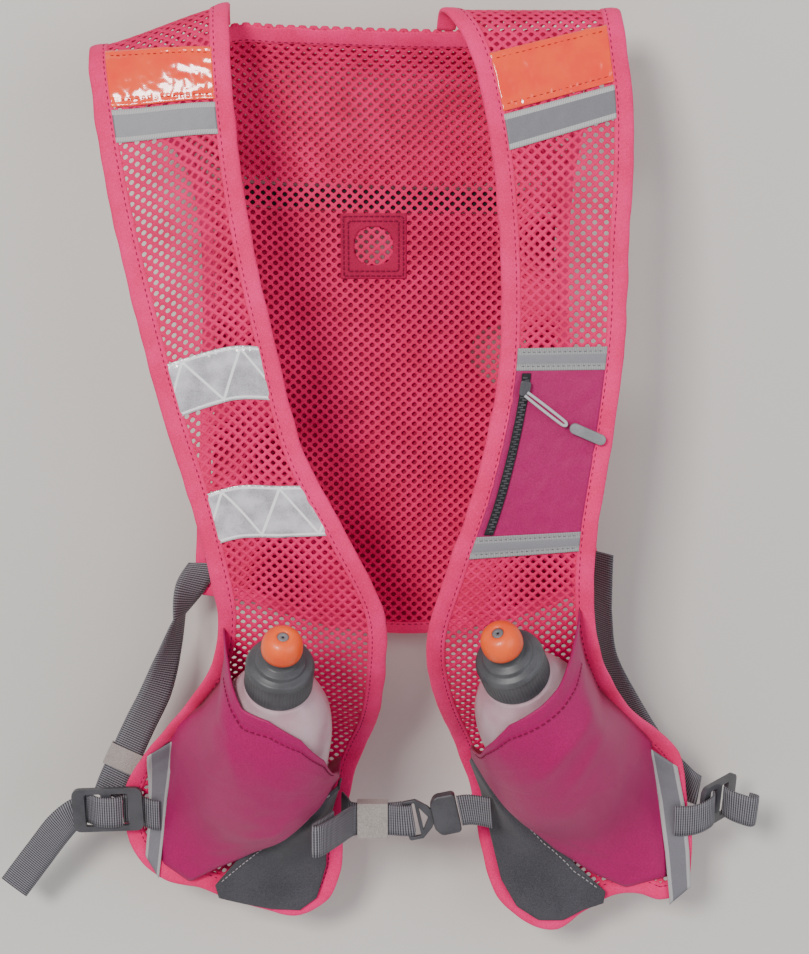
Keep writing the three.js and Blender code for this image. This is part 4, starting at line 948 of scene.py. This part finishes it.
webbingGrey = webbingFinish()
chestY, chestZ = -30, -435.6
straps = {
    "left_side_strap": [(-93, 26.9, -304, 92, 0), (-101, 21.5, -317, 115, 25), (-107, 17.5, -333, 112, 75),
                        (-113, 16, -353, 112, 50), (-121, 12, -376, 115, 15), (-130, 9.5, -394, 117, 5),
                        (-138, 7, -411, 117, 0), (-145, 4.8, -426, 118, 0), (-149, 3.8, -436, 118, 0)],
    "left_side_tail": [(-139.9, -7.6, -441, 0, 0), (-143.6, -9.8, -441, 0, 0), (-148.8, -10.2, -441, 0, 0),
                       (-153.4, -9, -441, 0, 0), (-157, -6, -441, 0, 0), (-161, -3, -441.4, 2, 0),
                       (-168, -2.4, -445, -14, 0), (-178, 0, -455, -40, 0), (-191, 4, -473, -47, 0),
                       (-207, 6, -495, -50, 0)],
    "left_side_tab": [(-119, -5.2, -445, 0, 0), (-124, -4.6, -444.5, 0, 0), (-129, -3, -443, 0, 0),
                      (-134, -2.8, -442, 0, 0), (-140, -2.8, -441, 0, 0)],
    "right_side_strap": [(132, 21.5, -296, 90, -45), (133, 17, -326, 90, -60), (136, 20.5, -355, 85, -50),
                         (148, 21, -384, 60, -30), (166, 18, -414, 45, -15), (184, 15, -433, 25, -5),
                         (192, 14, -438, 8, 0)],
    "right_side_tab": [(175, -7.8, -447, 0, 0), (182, -8, -447, 0, 0), (188, -7.8, -446, 0, 0),
                       (193.5, -6.6, -444, 0, 0), (197.6, -2.6, -443, 0, 0), (198.5, 1.5, -442, 0, 0)],
    "right_side_tail": [(205.5, 8.9, -442, 0, 0), (209, 5, -443, 0, 0), (215, 2.4, -444.5, 3, 0),
                        (221, 2, -446, 5, 0), (224, 5, -446, 5, 0), (220, 9, -446, 5, 0)],
    "chest_strap_left": [(-14, chestY + 14, chestZ + 1, 0, 0), (-11, chestY + 7, chestZ + 0.6, 0, 0),
                         (-7, chestY + 1.4, chestZ, 0, 0), (12, chestY + 1.3, chestZ, 0, 0),
                         (20, chestY + 2.8, chestZ, -4, 0), (26, chestY + 2.4, chestZ, -9, 0)],
    "chest_strap_tail": [(-18, chestY - 18.5, chestZ + 4, 0, 0), (-23, chestY - 28, chestZ + 4, 0, 0),
                         (-27.4, chestY - 34.6, chestZ + 4, 0, 0), (-28, chestY - 38, chestZ + 4, 0, 0),
                         (-23.6, chestY - 36.4, chestZ + 4, 0, 0), (-15, chestY - 21, chestZ + 3, 0, 0),
                         (-10, chestY - 8, chestZ + 1, 0, 0), (-6.5, chestY - 1.9, chestZ, 0, 0),
                         (0, chestY - 1.3, chestZ, 0, 0), (12, chestY - 1.3, chestZ, 0, 0),
                         (20, chestY - 2.8, chestZ, -4, 0), (26, chestY - 2.2, chestZ, -9, 0)],
    "chest_strap_right": [(69.2, chestY - 4.4, chestZ + 5.4, -4, 0), (63, chestY - 1.4, chestZ + 5.4, -7, 0),
                          (57, chestY + 0.6, chestZ + 5.2, -10, 0), (51.4, chestY, chestZ + 4.8, -12, 0)],
}
for node, rows in straps.items():
    webbingStrap(node + "_look", rows, [node], webbingGrey)
print("straps made")


# bottles, caps and valves, turned about their own axes
def turned(name, rows, side, material, body, replaced=(), slot=None, ring=72, flutes=None):
    place = {"left": ((-42, -100, -321), (0.11, -0.566, 0.817)),
             "right": ((74, -107, -315), (-0.28, -0.585, 0.76))}[side]
    axis = Vector(place[1]).normalized()
    base = Vector(place[0]) - axis * 120
    first = axis.cross(Vector((1, 0, 0))).normalized()
    second = axis.cross(first)
    bm = bmesh.new()
    made = []
    for radius, height in rows:
        loop = []
        for k in range(ring):
            turn = 2 * math.pi * k / ring
            wide = radius
            if flutes and flutes["low"] < height < flutes["high"] and radius > flutes["radius"]:
                wide += flutes["deep"] * (math.cos(turn * flutes["count"]) - 1) / 2
            loop.append(bm.verts.new(base + axis * height
                                     + (first * math.cos(turn) + second * math.sin(turn)) * wide))
        made.append(loop)
    for a, b in zip(made, made[1:] + made[:1]):
        for k in range(ring):
            n = (k + 1) % ring
            bm.faces.new((a[k], a[n], b[n], b[k]))
    bmesh.ops.remove_doubles(bm, verts=bm.verts[:], dist=0.001)
    bmesh.ops.recalc_face_normals(bm, faces=bm.faces[:])
    return finishPiece(bm, name, material, body=body, replaced=replaced, slot=slot)


def plasticFinish(name, dark, light, gloss, coat=0.0, grain=0.00012, more=None):
    made = Finish(name, {"Roughness": gloss, "Specular IOR Level": 0.45, "Coat Weight": coat, **(more or {})})
    cloud, fine = made.noise(60, 2), made.noise(1400, 3)
    made.done({"Base Color": made.tint((cloud * 0.7 + fine * 0.3).ramp(0.35, 0.65), paint(*dark),
                                       paint(*light)),
               "Normal": made.relief(fine, grain, 0.35)})
    return made.material


frosted = plasticFinish("frostedBottle", (226, 184, 196), (242, 214, 222), 0.34, 0.2,
                        more={"Transmission Weight": 0.45, "IOR": 1.4})
capGrey = plasticFinish("capGrey", (62, 62, 66), (80, 80, 84), 0.42)
valveOrange = plasticFinish("valveOrange", (232, 72, 14), (250, 96, 26), 0.4, 0.15)
discGrey = plasticFinish("valveDisc", (96, 94, 98), (120, 118, 122), 0.5)
darkPlastic = plasticFinish("darkPlastic", (54, 54, 59), (74, 73, 78), 0.38, 0.1)
gripGrey = plasticFinish("gripGrey", (118, 118, 122), (142, 142, 146), 0.55)
bottleRows = [(0, 0), (24, 0), (27, 2), (29.8, 6.5), (31, 12), (31, 36), (31, 60), (30.8, 66), (30, 74),
              (28.6, 81),
              (25.9, 88), (23.2, 94), (20.2, 99), (17.6, 102.4), (17.4, 105), (15.2, 105.8), (14.4, 107.5),
              (14.4, 122),
              (12.9, 122), (12.9, 107), (14.4, 104.4), (18.6, 98.2), (24.2, 87.2), (27.1, 80.4),
              (28.5, 73.4), (29.5, 60),
              (29.5, 12), (28.4, 7.4), (26, 3.6), (23.6, 1.5), (0, 1.5)]
capRows = ([(15, 106.5), (17.3, 106.5), (17.6, 107.1)] + [(17.6, h) for h in np.linspace(107.8, 120.6, 12)]
           + [(17.6, 121.4), (17.4, 122.3), (16.6, 123.7), (15.8, 124.4), (13.5, 124.6), (12.9, 125.4),
              (12.7, 126.8), (12.2, 127.2),
              (9.4, 127.6), (8.3, 128.4), (8, 130), (8, 140), (3, 140), (3, 125.5), (12, 123), (15, 122.6)])
valveRows = [(8.4, 133.5), (9.6, 133.6), (10.2, 134.3), (10.5, 136.2), (10.45, 138.6), (10.1, 141),
             (9.3, 143.1), (8, 144.9),
             (6.4, 146), (4.8, 146.5), (3.5, 146.5), (3, 146), (3, 141.5), (8.4, 141.5)]
for side in ("left", "right"):
    turned(side + "BottleLook", bottleRows, side, frosted, "vest", [side + "_bottle"], "bottle", 96)
    turned(side + "CapLook", capRows, side, capGrey, side + "_cap", [side + "_cap"], "cap", 240,
           {"low": 107.5, "high": 121, "radius": 17, "deep": 0.6, "count": 60})
    turned(side + "ValveLook", valveRows, side, valveOrange, side + "_valve", [side + "_valve"], "valve", 72)
    turned(side + "ValveDisc", [(0.7, 144.6), (0.7, 145.9), (2.9, 145.9), (2.9, 144.6)], side, discGrey,
           side + "_valve", ring=40)
print("bottles made")


# pieces whose face follows a plain CAD solid
def lineAt(rows):
    points = np.array([(x * halfSpan, z * drop) for x, z in rows])
    run = np.concatenate([[0], np.cumsum(np.linalg.norm(np.diff(points, axis=0), axis=1))])
    return lambda u: np.array([np.interp(u * run[-1], run, points[:, 0]),
                               np.interp(u * run[-1], run, points[:, 1])])


def drapedPatch(name, node, spot, across, down, material, slot, lift=0.3, wall=0.9, rounds=10, folds=(),
                hem=None, replaced=None,
                sideways=False):
    tree = seenFace(node)
    under = seenDepth(node.split("_")[0] + "_front_panel")
    plane = np.array([[spot(i / across, j / down) for i in range(across + 1)] for j in range(down + 1)])
    depth = np.zeros((down + 1, across + 1))
    for j in range(down + 1):
        for i in range(across + 1):
            x, z = plane[j, i]
            hit = tree.ray_cast(Vector((x, -300, z)), Vector((0, 1, 0)))[0]
            if hit is None and slot != "pocket_cloth":
                near = tree.find_nearest(Vector((x, -60, z)))[0]
                hit = tree.find_nearest(Vector((x, near.y, z)))[0]
            onPanel = slot == "pocket_cloth" and (hit is None or i == 0 or j == down)
            depth[j, i] = under(x, z) - 0.9 if onPanel else hit.y
    for _ in range(rounds):
        inner = depth.copy()
        inner[1:-1, 1:-1] = (depth[1:-1, 1:-1] * 2 + depth[:-2, 1:-1] + depth[2:, 1:-1] + depth[1:-1, :-2]
                             + depth[1:-1, 2:]) / 6
        for edge in (inner[0], inner[-1], inner[:, 0], inner[:, -1]):
            edge[1:-1] = (edge[:-2] + edge[1:-1] * 2 + edge[2:]) / 4
        depth = inner
    for start, end, wide, tall in folds:
        a, b = np.array(start), np.array(end)
        way = b - a
        t = np.clip(((plane - a) @ way) / (way @ way), 0, 1)
        away = np.linalg.norm(plane - (a + t[..., None] * way), axis=-1)
        depth -= tall * np.exp(-(away / wide) ** 2) * np.sin(np.pi * np.clip(t * 0.9 + 0.05, 0, 1))
    v = np.linspace(0, 1, down + 1)[:, None]
    if hem:
        depth -= 0.55 * np.clip((hem - v) / 0.012, 0, 1)
        depth += 0.35 * np.exp(-((v - hem) / 0.008) ** 2)
    bm = bmesh.new()
    layers = {key: bm.verts.layers.float.new(key) for key in ("run", "share")}
    made = []
    for j in range(down + 1):
        row = []
        for i in range(across + 1):
            x, z = plane[j, i]
            ripple = 0.18 * noise.noise(Vector((x / 9, z / 9, 3)))
            vert = bm.verts.new((x, depth[j, i] - lift + ripple, z))
            vert[layers["run"]] = float(np.linalg.norm(plane[j, i] - (plane[j, 0] if sideways
                                                                      else plane[0, i])))
            vert[layers["share"]] = j / down if sideways else i / across
            row.append(vert)
        made.append(row)
    for a, b in zip(made, made[1:]):
        for i in range(across):
            bm.faces.new((a[i], a[i + 1], b[i + 1], b[i]))
    bmesh.ops.remove_doubles(bm, verts=bm.verts[:], dist=0.01)
    if sum(face.normal.y for face in bm.faces) > 0:
        bmesh.ops.reverse_faces(bm, faces=bm.faces[:])
    piece = finishPiece(bm, name, material, replaced=[node] if replaced is None else replaced, slot=slot,
                        thickness=wall)
    if slot != "reflective_tape":
        spread = np.stack([plane[..., 0], depth, plane[..., 1]], axis=-1)
        declareCloth(piece, spread,
                     [node.split("_")[0] + "_front_panel"])

    def reader(u, w):
        j, i = round(w * down), round(u * across)
        return plane[j, i], depth[j, i] - lift

    return piece, reader


rightReflector = [(1.136, -0.806, 1.26, -0.832), (1.187, -0.872, 1.295, -0.878),
                  (1.216, -0.932, 1.315, -0.93), (1.238, -0.992, 1.322, -0.972)]
pocketShape = {
    "left": {
        "opening": [(-0.53, -0.628), (-0.479, -0.66), (-0.436, -0.68), (-0.336, -0.69), (-0.221, -0.716),
                    (-0.143, -0.752), (-0.107, -0.808)],
        "arm": [(-0.54, -0.634), (-0.536, -0.66), (-0.564, -0.702), (-0.643, -0.734), (-0.76, -0.766),
                (-0.79, -0.79), (-0.83, -0.872),
                (-0.858, -0.92), (-0.852, -0.95), (-0.75, -0.97)],
        "seam": [(-0.62, -0.97), (-0.43, -0.924), (-0.3, -0.886), (-0.186, -0.84), (-0.107, -0.82)],
        "hem": [(-0.61, -0.984), (-0.51, -0.99), (-0.4, -0.996), (-0.28, -0.998), (-0.21, -0.984),
                (-0.17, -0.946), (-0.165, -0.9),
                (-0.12, -0.85), (-0.098, -0.828)],
        "reflector": [(-0.885, -0.812, -0.768, -0.788), (-0.9, -0.896, -0.82, -0.872),
                      (-0.914, -0.94, -0.858, -0.964)],
        "folds": [((-73, -336), (-66, -400), 4, 1.1), ((-22, -396), (-64, -448), 6, 1.4),
                  ((-88, -400), (-80, -470), 5, 0.9)]},
    "right": {
        "opening": [(0.81, -0.606), (0.764, -0.63), (0.707, -0.65), (0.636, -0.668), (0.521, -0.692),
                    (0.44, -0.728), (0.407, -0.782)],
        "arm": [(0.815, -0.612), (0.812, -0.634), (0.84, -0.668), (0.907, -0.714), (1.045, -0.76),
                (1.145, -0.798), (1.2, -0.872),
                (1.232, -0.922), (1.228, -0.962), (1.08, -0.975)],
        "seam": [(0.97, -0.978), (0.83, -0.952), (0.69, -0.912), (0.58, -0.868), (0.49, -0.83),
                 (0.415, -0.8)],
        "hem": [(0.965, -0.99), (0.88, -0.998), (0.8, -1.01), (0.7, -1.01), (0.61, -0.994), (0.545, -0.962),
                (0.5, -0.91),
                (0.455, -0.85), (0.408, -0.81)],
        "reflector": rightReflector,
        "folds": [((126, -336), (88, -386), 4.5, 1.8), ((132, -348), (104, -398), 4, 1.3),
                  ((134, -374), (136, -444), 4, 1.5),
                  ((147, -380), (150, -446), 4, 1.3), ((64, -400), (92, -440), 6, 1.1)]}}
greyPanel = wovenFinish("greyPanel", (52, 51, 56), (78, 76, 82), 0.6, 0.75, 0.3, 0.0002, 0.1)
paleThread = threadFinish("paleThread", (176, 170, 172))
for side, shape in pocketShape.items():
    opening, arm, seam, hem = (lineAt(shape[key]) for key in ("opening", "arm", "seam", "hem"))
    a, b, c = opening(0), opening(1), arm(1)

    def pocketSpot(u, v):
        v *= 1.04
        flat = (1 - v) * opening(u) + v * seam(u) + (1 - u) * arm(v) + u * (opening(1) * (1 - v) + seam(1)
                                                                            * v)
        return flat - ((1 - u) * ((1 - v) * opening(0) + v * seam(0)) + u
                       * ((1 - v) * opening(1) + v * seam(1)))

    piece, surface = drapedPatch(side + "PocketLook", side + "_bottle_pocket", pocketSpot, 72, 80, magenta,
                                 "pocket_cloth",
                                 folds=shape["folds"], hem=0.06, rounds=9)
    dashesOn(side + "PocketHemStitches",
             [(p[0], y - 0.4, p[1]) for p, y in (surface(i / 72, 0.0725) for i in range(3, 67))], darkThread)
    panelSpot = lambda u, v: (1.25 - 1.25 * v) * seam(u) + (1.25 * v - 0.25) * hem(u)
    piece, surface = drapedPatch(side + "PanelLook", side + "_pocket_panel", panelSpot, 80, 30, greyPanel,
                                 "grey_cloth", rounds=8, lift=0.1)
    dashesOn(side + "PanelStitches",
             [(p[0], y - 0.5, p[1]) for p, y in (surface(i / 80, 3 / 30) for i in range(4, 77))], paleThread)
    sides = shape["reflector"]
    lefts, rights = lineAt([(r[0], r[1]) for r in sides]), lineAt([(r[2], r[3]) for r in sides])
    drapedPatch(side + "ReflectorLook", side + "_pocket_reflector", lambda u,
                v: (1 - v) * lefts(u) + v * rights(u), 60, 12,
                reflectiveBand, "reflective_tape", lift=0.4, rounds=2, wall=0.6, sideways=True)
print("pockets made")


# hard pieces and small trim: the CAD shape with rounded edges
def roundedCopy(node, name, material, slot, bevel=0.35, body="vest"):
    solid = nodes[node]
    bm = bmesh.new()
    bm.from_mesh(solid.data)
    bmesh.ops.transform(bm, matrix=solid.matrix_world, verts=bm.verts[:])
    bmesh.ops.scale(bm, vec=(1000, 1000, 1000), verts=bm.verts[:])
    bmesh.ops.remove_doubles(bm, verts=bm.verts[:], dist=0.005)
    bmesh.ops.dissolve_limit(bm, angle_limit=math.radians(2), verts=bm.verts[:], edges=bm.edges[:])
    bmesh.ops.recalc_face_normals(bm, faces=bm.faces[:])
    return finishPiece(bm, name, material, body=body, replaced=[node], slot=slot, bevel=bevel, smooth=False)


keeperGrey = wovenFinish("keeperElastic", (142, 134, 130), (172, 164, 158), 0.7, 0.7, 0.3, 0.0002, 0.1)
for node, material, slot, bevel in (("left_glide", darkPlastic, "buckle", 0.7),
                                    ("right_glide", darkPlastic, "buckle", 0.7),
                                    ("chest_buckle_tongue", darkPlastic, "buckle", 0.4),
                                    ("chest_buckle_socket", darkPlastic, "buckle", 1.1),
                                    ("left_side_keeper", keeperGrey, "keeper", 0.35),
                                    ("chest_keeper", keeperGrey, "keeper", 0.35),
                                    ("zip_slider", darkPlastic, "zip_slider", 0.4),
                                    ("zip_grip", gripGrey, "grip", 0.6)):
    roundedCopy(node, node + "_look", material, slot, bevel)

# zipper: dark tape with two rows of teeth
zipAt = lambda down, width: edgeAt("right", True, down * drop, 10.75 + 1.5 + width)
bm = bmesh.new()
grid = bmesh.ops.create_grid(bm, x_segments=3, y_segments=60, size=0.5)["verts"]
for vert in grid:
    spot = zipAt(0.3905 + (0.5595 - 0.3905) * (0.5 - vert.co.y), (vert.co.x + 0.5) * 4.5)
    vert.co = (spot.x, spot.y, 3.2)
layDown(bm, onCloth)
if sum(face.normal.y for face in bm.faces) > 0:
    bmesh.ops.reverse_faces(bm, faces=bm.faces[:])
zipTape = wovenFinish("zipTape", (24, 22, 26), (40, 38, 42), 0.6, 0.7, 0.3, 0.0002, 0.05)
finishPiece(bm, "zipTapeLook", zipTape, replaced=["zipper"], slot="zipper", thickness=0.8)
bm = bmesh.new()
for n in range(64):
    down = 0.395 + (0.555 - 0.395) * n / 63
    spot = zipAt(down, 2.25 + (0.55 if n % 2 else -0.55))
    made = bmesh.ops.create_cube(bm, size=1)["verts"]
    bmesh.ops.scale(bm, vec=(2.4, 0.8, 0.9), verts=made)
    bmesh.ops.translate(bm, vec=(spot.x, spot.y, 3.7), verts=made)
layDown(bm, onCloth)
bmesh.ops.recalc_face_normals(bm, faces=bm.faces[:])
finishPiece(bm, "zipTeeth", darkPlastic, smooth=False)

# doubled pull cord, from the slider round the grip's end and back
pull = {"radius": 0.8, "sides": 10, "steps": 120}
cordBox = [nodes["zip_cord"].matrix_world @ v.co * 1000 for v in nodes["zip_cord"].data.vertices]
cordY = (min(v.y for v in cordBox) + max(v.y for v in cordBox)) / 2
top = max(cordBox, key=lambda v: v.z)
start, end = Vector((min(v.x for v in cordBox) + 1.4, cordY, top.z - 1)), Vector((104, cordY, -205.5))
way = (end - start).normalized()
aside = Vector((way.z, 0, -way.x))
route = [(0, 1.05), (0.2, 1.2), (0.5, 1.3), (0.8, 1.25), (0.95, 1.1), (1, 0.55), (1.012, 0), (1, -0.55),
         (0.95, -1.1), (0.8, -1.25), (0.5, -1.3), (0.2, -1.2), (0, -1.05)]
rows = [tuple(start + (end - start) * t + aside * w) + (0, 0) for t, w in route]
path = [alongRows(rows, t)[0] for t in np.linspace(0, len(rows) - 1, pull["steps"] + 1)]
bm = bmesh.new()
rings = []
for i, spot in enumerate(path):
    ahead = (path[min(i + 1, pull["steps"])] - path[max(i - 1, 0)]).normalized()
    out = ahead.cross(Vector((0, 1, 0))).normalized()
    ring = []
    for k in range(pull["sides"]):
        turn = k * 2 * math.pi / pull["sides"]
        ring.append(bm.verts.new(spot + (out * math.cos(turn) + Vector((0, 1, 0)) * math.sin(turn))
                                 * pull["radius"]))
    rings.append(ring)
for a, b in zip(rings, rings[1:]):
    for k in range(pull["sides"]):
        n = (k + 1) % pull["sides"]
        bm.faces.new((a[k], a[n], b[n], b[k]))
bm.faces.new(rings[0][::-1])
bm.faces.new(rings[-1])
bmesh.ops.recalc_face_normals(bm, faces=bm.faces[:])
cordPale = threadFinish("cordPale", (196, 194, 198))
pullCord = finishPiece(bm, "pullCord", cordPale, replaced=["zip_cord"], slot="pull_cord")
print("trim made")

seen = bpy.context.evaluated_depsgraph_get()
counts = {piece.name: sum(len(face.vertices) - 2 for face in piece.evaluated_get(seen).data.polygons)
          for piece in bpy.context.scene.objects if piece.type == "MESH" and not piece.hide_render}
print("triangles", sum(counts.values()), sorted(((n, name) for name, n in counts.items()), reverse=True)[:6])
